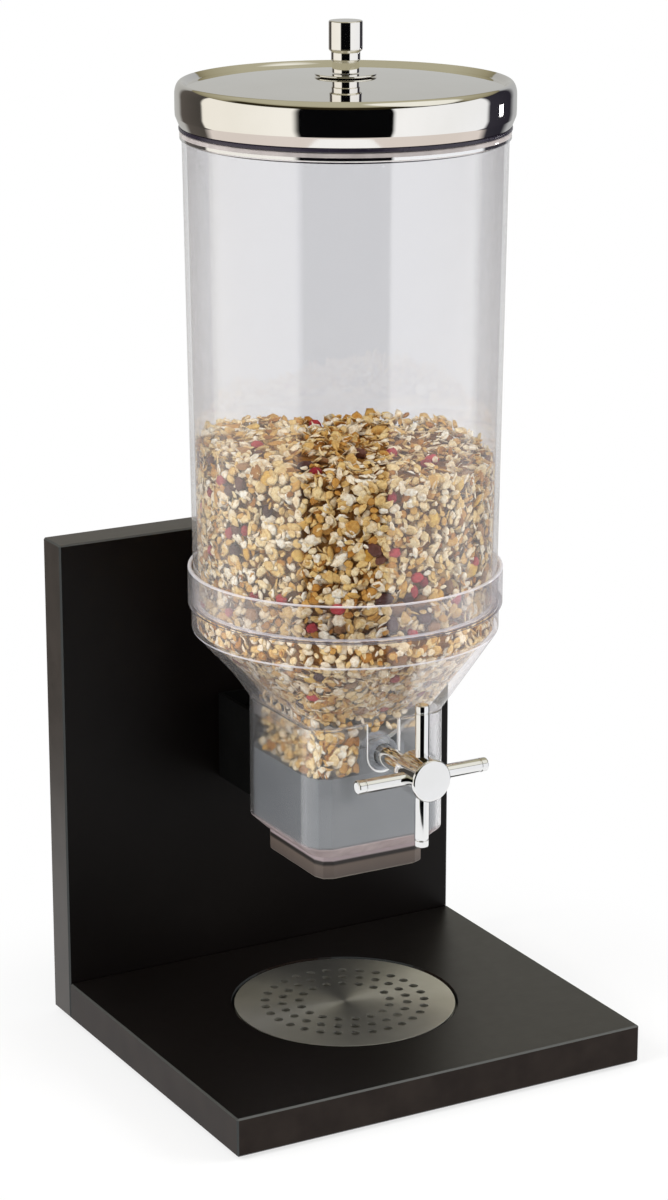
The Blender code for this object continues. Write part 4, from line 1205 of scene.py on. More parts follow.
inner_half, inner_corner = housing_half - HOUSING_WALL, HOUSING_CORNER - HOUSING_WALL
housing_rings = []
for half, corner, z in (
    (housing_half - 0.5 * MM, HOUSING_CORNER, housing_top),
    (housing_half, HOUSING_CORNER, housing_top - 0.5 * MM),
    (housing_half, HOUSING_CORNER, TAPER_Z + 0.6 * MM),
    (housing_half - 0.35 * MM, HOUSING_CORNER, TAPER_Z - 0.2 * MM),
    (HOUSING_FOOT_HALF, HOUSING_FOOT_CORNER, HOUSING_LOW + 0.3 * MM),
    (HOUSING_FOOT_HALF - 0.4 * MM, HOUSING_FOOT_CORNER, HOUSING_LOW),
    (HOUSING_FOOT_HALF - HOUSING_WALL, HOUSING_FOOT_CORNER - HOUSING_WALL, HOUSING_LOW),
    (inner_half, inner_corner, TAPER_Z),
    (inner_half, inner_corner, housing_top),
):
    housing_rings.append(ring_at(square_reach(half, corner, AROUND), z))
housing = placed(
    "satin_housing",
    skinned(braced(housing_rings)),
    satin_polycarbonate,
    "stand",
    ("outlet_housing",),
    UPRIGHT,
)
dress(grey_abs, "rotor_cradle")

# %% [markdown]
# Bosses on the housing's back wall take the screws from the bracket. Bosses, holes and notches are
# added and cut with Booleans: a plain body is drawn where material comes or goes, used once as a
# tool and thrown away.

# %% Boolean tools
def hidden_tool(name, mesh, target, operation):
    """Uses a mesh as a Boolean tool on target, applies it and throws the tool away."""
    tool = bpy.data.objects.new(name, mesh)
    bpy.context.scene.collection.objects.link(tool)
    cut = target.modifiers.new(name, "BOOLEAN")
    cut.operation, cut.solver, cut.object = operation, "EXACT", tool
    bpy.context.view_layer.objects.active = target
    with bpy.context.temp_override(object=target, active_object=target):
        bpy.ops.object.modifier_apply(modifier=name)
    bpy.data.objects.remove(tool, do_unlink=True)


ROD_STEPS = 48


def rod_mesh(radius, length, matrix):
    """A plain rod from its foot along +Z, moved by matrix."""
    mesh = lathe(((0, 0), (radius, 0), (radius, length), (0, length)), steps=ROD_STEPS)
    mesh.transform(matrix)
    return mesh


print("a plain rod has", ROD_STEPS, "steps round")

# %% Bosses on the housing's back
BOSS_R, BOSS_X, BOSS_LENGTH = 5.0 * MM, 17.5 * MM, 6.0 * MM
BOSS_RISES = (11.0 * MM, 33.0 * MM)
BOSS_FLOOR = 1.3 * MM
SCREW_HOLE_R = 2.0 * MM

boss_root = HOUSING_WALL / 2
back_wall = AXIS_Y + housing_half
for rise in BOSS_RISES:
    for x in (-BOSS_X, BOSS_X):
        foot = Matrix.Translation((x, back_wall - boss_root, TAPER_Z + rise))
        lying = foot @ Matrix.Rotation(-math.pi / 2, 4, "X")
        hidden_tool("boss", rod_mesh(BOSS_R, BOSS_LENGTH + boss_root, lying), housing, "UNION")
        deep = Matrix.Translation((0, boss_root + BOSS_FLOOR, 0)) @ lying
        hidden_tool("hole", rod_mesh(SCREW_HOLE_R, BOSS_LENGTH, deep), housing, "DIFFERENCE")
print("bosses:", 2 * len(BOSS_RISES))

# %% [markdown]
# A U-shaped notch in the front and back walls lets the shaft and its bushes drop in from above: it
# is open at the top and round at the bottom. A shallow step runs round it, whose face catches the
# light. That is the fine white line round the shaft in the picture.

# %% Notches for the shaft, and the step round them
NOTCH_R = radius_of("front_bush") - 1.1 * MM
STEP_R, STEP_DEEP = NOTCH_R + 0.9 * MM, 0.4 * MM
OVERRUN = 2 * MM

notch_top = housing_top + OVERRUN - SHAFT_Z
notch = [(NOTCH_R, notch_top)]
notch += [(NOTCH_R * math.cos(a), NOTCH_R * math.sin(a)) for a in np.linspace(0, -math.pi, 25)]
notch.append((-NOTCH_R, notch_top))
wide = [(x * STEP_R / NOTCH_R, y * STEP_R / NOTCH_R) for x, y in notch]
reach = housing_half + OVERRUN
for name, outline, near, far in (
    ("notch", notch, -reach, reach),
    ("step", wide, housing_half - STEP_DEEP, reach),
    ("step", wide, -reach, STEP_DEEP - housing_half),
):
    sections = [[(x, y, z) for x, y in outline] for z in (near, far)]
    bar = skinned(sections, closed=False, caps=True)
    bar.transform(ALONG_SHAFT)
    hidden_tool(name, bar, housing, "DIFFERENCE")
print("notch width in mm:", round(2 * NOTCH_R / MM, 1))

# %% Painted highlight on the cut faces, and the frosted foot
housing.data.shade_smooth()
housing.data.set_sharp_from_angle(angle=SHARP)
for material in (cut_edge_highlight, satin_foot):
    housing.data.materials.append(material)
SLOT_OF = {name: slot for slot, name in enumerate(housing.data.materials.keys())}
for face in housing.data.polygons:
    x, y, z = face.center.x, face.center.y - AXIS_Y, face.center.z - SHAFT_Z
    across_shaft = abs(x) if z > 0 else math.hypot(x, z)
    in_notch = abs(across_shaft - NOTCH_R) < 0.25 * MM and abs(y) > inner_half - 0.5 * MM
    on_step = abs(abs(y) - housing_half + STEP_DEEP) < 0.05 * MM and abs(face.normal.y) > 0.99
    # The cut faces of the notch and the step get a near-white painted highlight.
    if in_notch or on_step:
        face.material_index = SLOT_OF["cut_edge_highlight"]
    elif face.center.z < TAPER_Z + 0.3 * MM:
        face.material_index = SLOT_OF["satin_foot"]
print("housing faces:", len(housing.data.polygons))

# %% [markdown]
# ## Shaft, wheel and handle
# The shaft is polished steel, with a groove near its rear end for a clip. Two nylon bushes carry it
# in the housing's notches: each is a sleeve with a flange inside the wall. The wheel between them is
# soft silicone, so that it gives way to a nut instead of cutting it.
#
# The lengths run along the shaft, forward from the canister's axis, so everything here is drawn
# upright and then laid down onto the shaft.

# %% Shaft
GROOVE_DEEP = 0.8 * MM

shaft_r = radius_of("shaft")
shaft_front, shaft_rear = AXIS_Y - low("shaft").y, high("shaft").y - AXIS_Y
clip_far, clip_near = high("shaft_clip").y - AXIS_Y, low("shaft_clip").y - AXIS_Y
shaft_outline = (
    (0, -shaft_rear),
    (shaft_r, -shaft_rear),
    (shaft_r, -clip_far - GAP),
    (shaft_r - GROOVE_DEEP, -clip_far - GAP),
    (shaft_r - GROOVE_DEEP, -clip_near + GAP),
    (shaft_r, -clip_near + GAP),
    (shaft_r, shaft_front),
    (0, shaft_front),
)
shaft_rounding = [r * MM for r in (0, 0.7, 0.1, 0.1, 0.1, 0.1, 0.3, 0)]
placed(
    "polished_shaft",
    lathe(rounded(shaft_outline, shaft_rounding), steps=64),
    polished_stainless,
    "wheel",
    ("shaft",),
    ALONG_SHAFT,
)

# %% Bushes, and the wheel's finish
FLANGE_T = 1.0 * MM

flange_r, bush_r, bush_bore = radius_of("front_bush"), NOTCH_R - GAP, shaft_r + GAP
bush_rounding = [r * MM for r in (0.2, 0.3, 0.3, 0.1, 0.5, 0.4)]
for name, side in (("front_bush", 1), ("rear_bush", -1)):
    inner, outer = sorted((AXIS_Y - low(name).y, AXIS_Y - high(name).y), key=abs)
    step = inner + side * FLANGE_T
    bush_outline = (
        (bush_bore, inner),
        (flange_r, inner),
        (flange_r, step),
        (bush_r, step),
        (bush_r, outer),
        (bush_bore, outer),
    )
    placed(
        f"nylon_{name}",
        lathe(rounded(bush_outline, bush_rounding), steps=64),
        natural_nylon,
        "stand",
        (name,),
        ALONG_SHAFT,
    )
dress(pale_silicone, "portion_wheel")

# %% [markdown]
# The handle is four turned rods in a hub, all chromed. Each rod has a fine groove near its end and a
# chamfered tip. One rod is drawn, then made four times at a quarter turn, because each is a piece of
# its own that can be taken out.

# %% Handle hub
HUB_BORE_DEEP = 13.0 * MM

hub_r = radius_of("handle_hub")
hub_front, hub_back = AXIS_Y - low("handle_hub").y, AXIS_Y - high("handle_hub").y
hub_outline = (
    (bush_bore, hub_back),
    (hub_r, hub_back),
    (hub_r, hub_front),
    (0, hub_front),
    (0, hub_back + HUB_BORE_DEEP),
    (bush_bore, hub_back + HUB_BORE_DEEP),
)
hub_rounding = [r * MM for r in (0.2, 0.8, 1.2, 0, 0, 0)]
placed(
    "chromed_hub",
    lathe(rounded(hub_outline, hub_rounding), steps=96),
    chrome_plate,
    "wheel",
    ("handle_hub",),
    ALONG_SHAFT,
)

# %% Handle rods
GROOVE_FROM_TIP = (4.1 * MM, 3.4 * MM)
ROD_GROOVE_DEEP = 0.3 * MM

rod_r = (high("spoke_right").z - low("spoke_right").z) / 2
rod_tip, rod_root = high("spoke_right").x, low("spoke_right").x
rod_plane = AXIS_Y - (low("spoke_right").y + high("spoke_right").y) / 2
groove_near, groove_far = (rod_tip - back for back in GROOVE_FROM_TIP)
rod_outline = (
    (0, rod_root),
    (rod_r, rod_root),
    (rod_r, groove_near),
    (rod_r - ROD_GROOVE_DEEP, groove_near),
    (rod_r - ROD_GROOVE_DEEP, groove_far),
    (rod_r, groove_far),
    (rod_r, rod_tip),
    (0, rod_tip),
)
rod_rounding = [r * MM for r in (0, 0.1, 0.15, 0.1, 0.1, 0.15, 0.8, 0)]
at_hub = Matrix.Translation((0, 0, rod_plane))
for quarter, side in enumerate(("right", "up", "left", "down")):
    turn = Matrix.Rotation(quarter * math.pi / 2, 4, "Z") @ Matrix.Rotation(math.pi / 2, 4, "Y")
    placed(
        f"chromed_rod_{side}",
        lathe(rounded(rod_outline, rod_rounding), steps=64),
        chrome_plate,
        "wheel",
        (f"spoke_{side}",),
        ALONG_SHAFT @ at_hub @ turn,
    )

# %% [markdown]
# ## Crumb tray
# Crumbs fall through a perforated steel disc into a shallow dish. The disc is a round plate, and its
# holes are cut by one Boolean, with all the punches joined in one tool. Both pieces are drawn a
# little smaller than the model's, so that the board shows as a dark ring round the disc.

# %% Perforated plate
PLAY = 0.9 * MM

plate_low, plate_high = low("crumb_plate").z, high("crumb_plate").z
plate_r = radius_of("crumb_plate") - PLAY
plate_outline = ((0, plate_low), (plate_r, plate_low), (plate_r, plate_high), (0, plate_high))
plate_rounding = [r * MM for r in (0, 0.2, 0.15, 0)]
plate = placed(
    "perforated_plate",
    lathe(rounded(plate_outline, plate_rounding)),
    washed_stainless,
    "plate_body",
    ("crumb_plate",),
    UPRIGHT,
)

# %% Holes in the plate
HOLE_R, HOLE_PITCH, HOLE_RING_R, HOLE_RINGS = 2.25 * MM, 8.5 * MM, 39.5 * MM, 3
PUNCH_LENGTH = 6 * MM

punches = bmesh.new()
for ring in range(HOLE_RINGS):
    ring_radius = HOLE_RING_R - ring * HOLE_PITCH
    holes = round(math.tau * ring_radius / HOLE_PITCH)
    for turn in np.arange(holes) / holes * math.tau:
        spot = (ring_radius * math.cos(turn), AXIS_Y + ring_radius * math.sin(turn), plate_low)
        bmesh.ops.create_cone(
            punches,
            cap_ends=True,
            segments=20,
            radius1=HOLE_R,
            radius2=HOLE_R,
            depth=PUNCH_LENGTH,
            matrix=Matrix.Translation(spot),
        )
    print(f"ring {ring_radius / MM:.1f} mm in radius: {holes} holes")
punch_mesh = bpy.data.meshes.new("punches")
punches.to_mesh(punch_mesh)
punches.free()
hidden_tool("punches", punch_mesh, plate, "DIFFERENCE")
plate.data.shade_smooth()
plate.data.set_sharp_from_angle(angle=SHARP)

# %% Dish under the plate
WELL_R, DISH_T = 49.3 * MM, 0.8 * MM

dish_low, dish_high = low("crumb_dish").z, high("crumb_dish").z
dish_r = radius_of("crumb_dish") - PLAY
dish_outline = (
    (0, dish_low),
    (WELL_R, dish_low),
    (WELL_R, dish_high - DISH_T),
    (dish_r, dish_high - DISH_T),
    (dish_r, dish_high),
    (WELL_R - DISH_T, dish_high),
    (WELL_R - DISH_T, dish_low + DISH_T),
    (0, dish_low + DISH_T),
)
dish_rounding = [r * MM for r in (0, 1.2, 0.2, 0.3, 0.3, 0.5, 0.9, 0)]
placed(
    "pressed_dish",
    lathe(rounded(dish_outline, dish_rounding)),
    washed_stainless,
    "dish_body",
    ("crumb_dish",),
    UPRIGHT,
)

# %% [markdown]
# ## Muesli
# An empty canister would look wrong, since the food is most of what the eye sees through it. Muesli is
# thousands of thin leaves: rolled oats and bran, about 3 to 9 mm long, each a little bent, with dark
# gaps between them. Only the outer few millimetres can ever be seen. So the flakes lie in three thin
# layers behind the plastic and two on top of the heap, round a plain core in a darker brown, which
# closes the gaps: its colour is painted shade for the deep gaps between the leaves. Each load rides on
# the piece that holds it.
#
# The heap's top slopes down to the picture's right. Two crossing waves make low mounds on it, and
# two finer ones make lumps.

# %% Height of the heap
CLEAR = 0.3 * MM
HEAP_Z, HEAP_SLOPE = 302.0 * MM, 0.05
MOUND_H, MOUND_ALONG, MOUND_ACROSS = 3.6 * MM, 31 * MM, 24 * MM
LUMP_H, LUMP_ALONG, LUMP_ACROSS = 1.7 * MM, 8.3 * MM, 7.1 * MM

turned = math.radians(CAMERA_AZIMUTH)
seen_right = Vector((math.cos(turned), math.sin(turned)))


def heap_height(x, y):
    """The top of the muesli in the canister: it slopes down to the right, with low mounds."""
    across = x * seen_right.x + y * seen_right.y
    along = y * seen_right.x - x * seen_right.y
    mound = MOUND_H * np.cos(along / MOUND_ALONG + 0.6) * np.cos(across / MOUND_ACROSS + 1.1)
    lumps = LUMP_H * np.sin(across / LUMP_ACROSS + 1.0) * np.cos(along / LUMP_ALONG)
    return HEAP_Z - HEAP_SLOPE * across + mound + lumps


print(f"heap {(heap_height(0, 0) - can_low) / MM:.0f} mm deep in the middle")

# %% Inner walls of the canister and the hopper
cone_low, cone_high = seat + HOPPER_WALL, ring_bottom + HOPPER_WALL / 2


def canister_reach(angle, z):
    """The canister's inner radius at a height, in the shape of angle, which 0 * angle gives it."""
    share = (z - can_low) / (bead_low - can_low)
    return CAN_BOTTOM_R - CAN_WALL + share * (CAN_TOP_R - CAN_BOTTOM_R) + 0 * angle


def hopper_reach(angle, z):
    """The hopper's inner reach: a circle above, a square with round corners below."""
    share = np.clip((z - cone_low) / (cone_high - cone_low), 0, 1)
    square = square_reach(SPIGOT_HALF - SPIGOT_WALL, SPIGOT_CORNER - SPIGOT_WALL, angle)
    return (1 - share) * square + share * ledge_r


print(f"canister {canister_reach(0, HEAP_Z) / MM:.1f} mm in radius inside, at the heap")

# %% [markdown]
# A flake is a small leaf of sixteen points: a crown in the middle, an inner and an outer ring of
# seven, and a point below. Its outline wobbles, it is bent along one way and curled across, and it
# has a crease. All flakes of a layer are worked out at once as one array, because adding them as
# objects one by one would be slow. The random numbers start from a fixed seed, so the heap looks the
# same each time.

# %% Thin flakes, all drawn at once
SIDES = 7
CORNERS = 2 * SIDES + 2
NEXT = [(k, (k + 1) % SIDES) for k in range(SIDES)]
CROWN = [(0, 1 + k, 1 + m) for k, m in NEXT]
RIM = [(1 + k, 1 + SIDES + k, 1 + SIDES + m, 1 + m) for k, m in NEXT]
UNDER = [(CORNERS - 1, 1 + SIDES + m, 1 + SIDES + k) for k, m in NEXT]
INNER_RING = 0.6
WOBBLE, BEND, CURL = 0.1, 0.22, 0.16
WIDTHS, THICKNESSES, CREASES = (0.55, 0.95), (0.07, 0.15), (-0.08, 0.03)

rng = np.random.default_rng(11)


def flakes(places, normals, half_length, tilt):
    """A leaf at each place, lying roughly across its normal. Gives (leaves, corners, 3)."""
    count = len(places)
    normals = normals + rng.normal(0, tilt, (count, 3))
    normals /= np.linalg.norm(normals, axis=1, keepdims=True)
    along = np.cross(normals, rng.normal(0, 1, (count, 3)))
    along /= np.linalg.norm(along, axis=1, keepdims=True)
    across = np.cross(normals, along)
    turns = np.arange(SIDES) / SIDES * math.tau
    outline = 1 + rng.normal(0, WOBBLE, (count, SIDES))
    narrow = rng.uniform(*WIDTHS, (count, 1))
    u = outline * np.cos(turns)
    v = outline * np.sin(turns) * narrow
    bend = rng.normal(0, BEND, (count, 1))
    curl = rng.normal(0, CURL, (count, 1))
    lift = bend * u**2 + curl * v * u
    thick = rng.uniform(*THICKNESSES, (count, 1))
    crease = rng.uniform(*CREASES, (count, 1))
    zero = np.zeros((count, 1))
    us = np.concatenate([zero, INNER_RING * u, u, zero], 1)
    vs = np.concatenate([zero, INNER_RING * v, v, zero], 1)
    ws = np.concatenate([thick + crease, INNER_RING**2 * lift + thick, lift, zero - thick], 1)
    offset = us[..., None] * along[:, None] + vs[..., None] * across[:, None]
    offset += ws[..., None] * normals[:, None]
    return places[:, None] + half_length.reshape(-1, 1, 1) * offset


print("a flake has", CORNERS, "points and", len(CROWN + RIM + UNDER), "faces")

# %% [markdown]
# Raisins, berries, nuts and banana chips are larger lumps. Each is a ball, squashed to three half
# lengths and wrinkled by a few crossing waves: deep and many for a raisin, shallow and few for a
# nut. A low subdivision of the ball is enough at this size.

# %% Raisins, berries, nuts and banana chips
# Each has its half lengths in mm, the depth of its wrinkles and the number of waves over it.
TREATS = {
    "raisin": ((5.0, 3.6, 3.0), 0.16, 5.0),
    "berry": ((4.2, 3.4, 3.0), 0.13, 2.6),
    "nut": ((5.2, 3.8, 2.2), 0.12, 1.8),
    "banana": ((4.8, 4.2, 1.7), 0.14, 2.0),
}
TREAT_ODDS = (0.28, 0.34, 0.22, 0.16)
WRINKLE_WAVES = 5
TREAT_TILT = 0.25
TREAT_SIZES = (0.8, 1.15)

ball = bmesh.new()
bmesh.ops.create_icosphere(ball, subdivisions=3, radius=1)
BALL = np.array([v.co[:] for v in ball.verts])
BALL_FACES = [[v.index for v in f.verts] for f in ball.faces]
ball.free()


def treat(kind, place, normal):
    """One larger lump of fruit or nut, wrinkled by a few crossing waves."""
    half_lengths_mm, depth, waves = TREATS[kind]
    wrinkle = 0
    for _ in range(WRINKLE_WAVES):
        wave = rng.normal(0, waves, 3)
        wrinkle = wrinkle + np.abs(np.sin(BALL @ wave + rng.uniform(0, 6)))
    shape = BALL * (1 - depth * wrinkle[:, None] / 2) * np.array(half_lengths_mm) * MM
    shape *= rng.uniform(*TREAT_SIZES)
    facing = Vector(normal + rng.normal(0, TREAT_TILT, 3)).to_track_quat("Z", "Y").to_matrix()
    spin = Matrix.Rotation(rng.uniform(0, math.tau), 3, "Z")
    return place + shape @ np.array((facing @ spin).transposed())


print("kinds of fruit and nut:", ", ".join(TREATS))


# %% [markdown]
# Oats aren't one colour: every flake is toasted differently. The material takes a random number per
# loose part of the mesh and looks it up on a ramp from cream to brown. A fine mottle and bump give
# each leaf its floury, fibrous skin. Raisins are darker and glossier, dried berries matt and red.

# %% Food materials
def food(name, stops, roughness, mottle_mm, depth_mm, gloss=0.35):
    """A dry food: one colour per loose piece, a mottle, and a rough skin."""
    made, tree, out = blank(name)
    piece = node(tree, "ShaderNodeNewGeometry").outputs["Random Per Island"]
    mottle = cloudy(tree, mottle_mm, 4)
    toasted = node(tree, "ShaderNodeValToRGB", {"Fac": piece}, stops).outputs["Color"]
    specks_at = ((0.3, "#e0ccb2"), (0.6, "#ffffff"))
    specks = node(tree, "ShaderNodeValToRGB", {"Fac": mottle}, specks_at).outputs["Color"]
    pair = {"Factor": 1.0, "A": toasted, "B": specks}
    colour = node(tree, "ShaderNodeMix", pair, data_type="RGBA", blend_type="MULTIPLY")
    floury = {"Value": mottle, "To Min": roughness[0], "To Max": roughness[1]}
    relief = {"Height": mottle, "Distance": depth_mm * MM, "Strength": 1.0}
    settings = {
        "Base Color": colour.outputs["Result"],
        "Roughness": node(tree, "ShaderNodeMapRange", floury).outputs["Result"],
        "Specular IOR Level": gloss,
        "Normal": node(tree, "ShaderNodeBump", relief).outputs["Normal"],
    }
    shader = node(tree, "ShaderNodeBsdfPrincipled", settings)
    tree.links.new(shader.outputs["BSDF"], out.inputs["Surface"])
    return made


OAT_STOPS = (
    (0.00, "#9c6420"),
    (0.06, "#c58c3c"),
    (0.17, "#deb060"),
    (0.36, "#efcf8c"),
    (0.58, "#f9e4b4"),
    (0.80, "#fff1d4"),
    (1.00, "#fffaea"),
)
# The core's darker brown is painted shade for the deep gaps between the leaves.
CORE_SHADE_STOPS = ((0, "#9a6c34"), (1, "#bb8d50"))
MUESLI = {
    "flake": food("rolled_oats", OAT_STOPS, (0.55, 0.75), 1.6, 0.25),
    "raisin": food("raisin", ((0, "#3c2026"), (1, "#774a3c")), (0.35, 0.5), 2.0, 0.3, 0.5),
    "berry": food("freeze_dried_berry", ((0, "#8e1626"), (1, "#c7434a")), (0.4, 0.6), 1.5, 0.3),
    "nut": food("toasted_nut", ((0, "#7d5634"), (1, "#b98d5c")), (0.4, 0.6), 2.5, 0.2),
    "banana": food("banana_chip", ((0, "#dda53a"), (1, "#f0cf74")), (0.45, 0.6), 2.0, 0.2),
    "core": food("muesli_core_shade", CORE_SHADE_STOPS, (0.8, 0.95), 2.2, 0.8, 0.1),
}
KINDS = list(MUESLI)
print("foods:", ", ".join(material.name for material in MUESLI.values()))


# %% [markdown]
# A layer starts as places spread evenly over a sheet, which is then rolled up behind a round wall or
# laid level. A grid of places would show, and free random ones would leave holes. So each place is
# free only within its own cell of a grid.
#
# A flake that pokes through the plastic would spoil the picture. After the leaves are drawn, every
# corner outside the plastic is pulled back to it, which also presses the outer leaves flat against
# the wall, as real ones are.

# %% Spread places, and press corners inside the walls
def scattered(width, depth, spacing):
    """Evenly spread places on a sheet: a jittered grid of about one place per spacing squared."""
    across, down = max(1, round(width / spacing)), max(1, round(depth / spacing))
    u, v = np.meshgrid(np.arange(across), np.arange(down))
    u = (u + rng.uniform(0, 1, u.shape)) / across
    v = (v + rng.uniform(0, 1, v.shape)) / down
    return u.ravel(), v.ravel()


def pressed_inside(corners, reach_at, floor, roof=None):
    """Pulls corners back inside the wall, above the floor and below a flat roof."""
    x, y, z = corners[..., 0], corners[..., 1], corners[..., 2]
    z = np.maximum(z, floor)
    if roof is not None:
        z = np.minimum(z, roof)
    angle, far = np.arctan2(y, x), np.hypot(x, y)
    shrink = np.minimum(1, (reach_at(angle, z) - CLEAR) / np.maximum(far, CLEAR))
    return np.stack([x * shrink, y * shrink, z], -1)


SMALL_MM, LARGE_MM = 1.5, 4.5


def half_lengths(count, small=SMALL_MM, large=LARGE_MM):
    """Half lengths of flakes, from limits in mm: mostly small leaves with some large ones."""
    return (small + (large - small) * rng.beta(1.3, 2.1, count)) * MM


print(f"flakes are about {2 * SMALL_MM:.0f} to {2 * LARGE_MM:.0f} mm long before they are pressed")


# %% Layers behind a wall, and level ones
LOOSE_TILT = 0.5
LEVEL_MARGIN = 1.5 * MM


def on_wall(reach_at, low_z, high_z, slope, depth, spacing, tilt):
    """A layer of leaves at a depth behind a wall that leans out by slope."""
    mean = float(np.mean(reach_at(AROUND, np.full(TURN_STEPS, (low_z + high_z) / 2))))
    u, v = scattered(mean * math.tau, (high_z - low_z) / math.cos(slope), spacing)
    angle, z = u * math.tau, low_z + v * (high_z - low_z)
    reach = reach_at(angle, z) - depth * rng.uniform(0.6, 1.4, len(u))
    places = np.stack([reach * np.cos(angle), reach * np.sin(angle), z], 1)
    lean = math.cos(slope)
    normals = np.stack(
        [lean * np.cos(angle), lean * np.sin(angle), np.full(len(u), -math.sin(slope))], 1
    )
    return places, normals, tilt


def on_level(reach_at, height_at, spacing, up=1):
    """A layer of leaves on the top of a load, or on its under side where up is -1."""
    wide = float(np.max(reach_at(AROUND, np.full(TURN_STEPS, height_at(0.0, 0.0)))))
    u, v = scattered(2 * wide, 2 * wide, spacing)
    x, y = (2 * u - 1) * wide, (2 * v - 1) * wide
    z = height_at(x, y)
    inside = np.hypot(x, y) < reach_at(np.arctan2(y, x), z) - LEVEL_MARGIN
    places = np.stack([x, y, z], 1)[inside]
    return places, np.tile((0.0, 0.0, float(up)), (len(places), 1)), LOOSE_TILT


# %% Draw the layers with fruit and nuts among them
TREAT_SUNK = 1.2 * MM


def treats_on(layer, share):
    """Picks some places of a layer for treats."""
    places, normals, _ = layer
    chosen = np.flatnonzero(rng.uniform(0, 1, len(places)) < share)
    kinds = rng.choice(list(TREATS), len(chosen), p=TREAT_ODDS)
    return [(k, places[i] - TREAT_SUNK * normals[i], normals[i]) for k, i in zip(kinds, chosen)]


def drawn(layers, treats_at, reach_at, floor, roof, keep):
    """Draws the layers where keep allows, with room round the treats, and presses all inside."""
    fruit = []
    for kind, place, normal in treats_at:
        fruit.append((kind, pressed_inside(treat(kind, place, normal), reach_at, floor, roof)))
    leaves = []
    for places, normals, tilt in layers:
        free = np.ones(len(places), bool)
        for kind, place, _ in treats_at:
            half_width = TREATS[kind][0][1] * MM
            free &= np.linalg.norm(places - place, axis=1) > half_width
        free &= keep(places)
        places, normals = places[free], normals[free]
        corners = flakes(places, normals, half_lengths(len(places)), tilt)
        leaves.append(pressed_inside(corners, reach_at, floor, roof))
    return leaves, fruit


# %% One mesh for a whole load
def load(name, body, leaves, treats, matrix, core=None):
    """One mesh of all the flakes, treats and the core of a load."""
    points, faces, kinds = [], [], []
    start = 0
    for corners in leaves:
        flat = corners.reshape(-1, 3)
        for i in range(start, start + len(flat), CORNERS):
            leaf_faces = [tuple(i + k for k in face) for face in CROWN + RIM + UNDER]
            faces += leaf_faces
            kinds += [KINDS.index("flake")] * len(leaf_faces)
        points.append(flat)
        start += len(flat)
    for kind, corners in treats:
        faces += [tuple(start + k for k in face) for face in BALL_FACES]
        kinds += [KINDS.index(kind)] * len(BALL_FACES)
        points.append(corners)
        start += len(corners)
    if core:
        faces += [tuple(start + k for k in face.vertices) for face in core.polygons]
        kinds += [KINDS.index("core")] * len(core.polygons)
        points.append(np.array([v.co[:] for v in core.vertices]))
    mesh = bpy.data.meshes.new(name)
    mesh.from_pydata(np.concatenate(points).tolist(), [], faces)
    for material in MUESLI.values():
        mesh.materials.append(material)
    mesh.polygons.foreach_set("material_index", kinds)
    mesh.shade_smooth()
    mesh.transform(matrix)
    made = bpy.data.objects.new(name, mesh)
    bpy.context.scene.collection.objects.link(made)
    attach(made, body)
    print(name, "faces:", len(faces))


# %% [markdown]
# In the canister the outermost layer is the closest packed, since it is what the eye sees, and the
# ones behind it only fill its gaps. Leaves above the heap are left out. The core follows the heap's
# top a few millimetres below it.

# %% Muesli in the canister
# Each layer has its depth and its spacing in mm, and at the wall how far its leaves are tilted.
WALL_LAYERS = ((1.0, 3.8, 0.45), (2.4, 4.6, 0.6), (3.8, 6.2, 0.7))
TOP_LAYERS = ((0.2, 4.8), (2.2, 5.6))
CANISTER_TREATS = 0.055
CORE_INSET, CORE_SUNK = 4.4 * MM, 3.4 * MM
CANISTER_LEAN = 0.02

food_low = can_low + CLEAR


def below_heap(places):
    """True for places that are not above the heap."""
    return places[:, 2] < heap_height(places[:, 0], places[:, 1]) + 0.5 * MM


edge_r = canister_reach(AROUND, HEAP_Z)
heap_top = float(np.max(heap_height(edge_r * np.cos(AROUND), edge_r * np.sin(AROUND))))
wall_layers = [
    on_wall(canister_reach, food_low, heap_top, CANISTER_LEAN, depth * MM, spacing * MM, tilt)
    for depth, spacing, tilt in WALL_LAYERS
]
top_layers = [
    on_level(canister_reach, lambda x, y, deep=deep: heap_height(x, y) - deep * MM, spacing * MM)
    for deep, spacing in TOP_LAYERS
]
under_layer = on_level(canister_reach, lambda x, y: food_low + 1.0 * MM + 0 * x, 8.0 * MM, -1)
treats_at = treats_on(wall_layers[0], CANISTER_TREATS)
treats_at += treats_on(top_layers[0], CANISTER_TREATS)
treats_at = [each for each in treats_at if below_heap(np.array([each[1]]) + 2 * MM)[0]]
layers = wall_layers + top_layers + [under_layer]
leaves, fruit = drawn(layers, treats_at, canister_reach, food_low, None, below_heap)
print("fruit and nuts in the canister:", len(fruit))

# %% Core of the canister's muesli
core_r, core_low = CAN_BOTTOM_R - CAN_WALL - CORE_INSET, food_low + 2 * MM
core_rings = [ring_at(0.0, core_low), ring_at(core_r, core_low)]
for share in (1.0, 0.8, 0.6, 0.4, 0.2, 0.0):
    ring = ring_at(core_r * share, 0.0)
    ring[:, 2] = heap_height(ring[:, 0], ring[:, 1]) - CORE_SUNK
    core_rings.append(ring)
load("canister_muesli", "canister_body", leaves, fruit, UPRIGHT, skinned(core_rings, closed=False))

# %% [markdown]
# The cone's load stops short of the wheel, whose vanes sweep up into the throat. So leaves inside
# that sweep are left out, and the core ends well above it.

# %% Muesli in the hopper
SWEEP_R, SWEEP_HALF = 31.6 * MM, 30.6 * MM
SWEEP_ROOM, SWEEP_END_ROOM = 3 * MM, 1 * MM
CONE_LAYERS = ((1.0, 3.8, 0.45), (2.4, 4.6, 0.6), (3.8, 5.6, 0.7))
COLLAR_LAYERS = ((1.0, 3.8, 0.45), (2.6, 4.6, 0.6))
HOPPER_TREATS = 0.04

cone_floor, cone_roof = spigot_low + 1.0 * MM, can_low - CLEAR


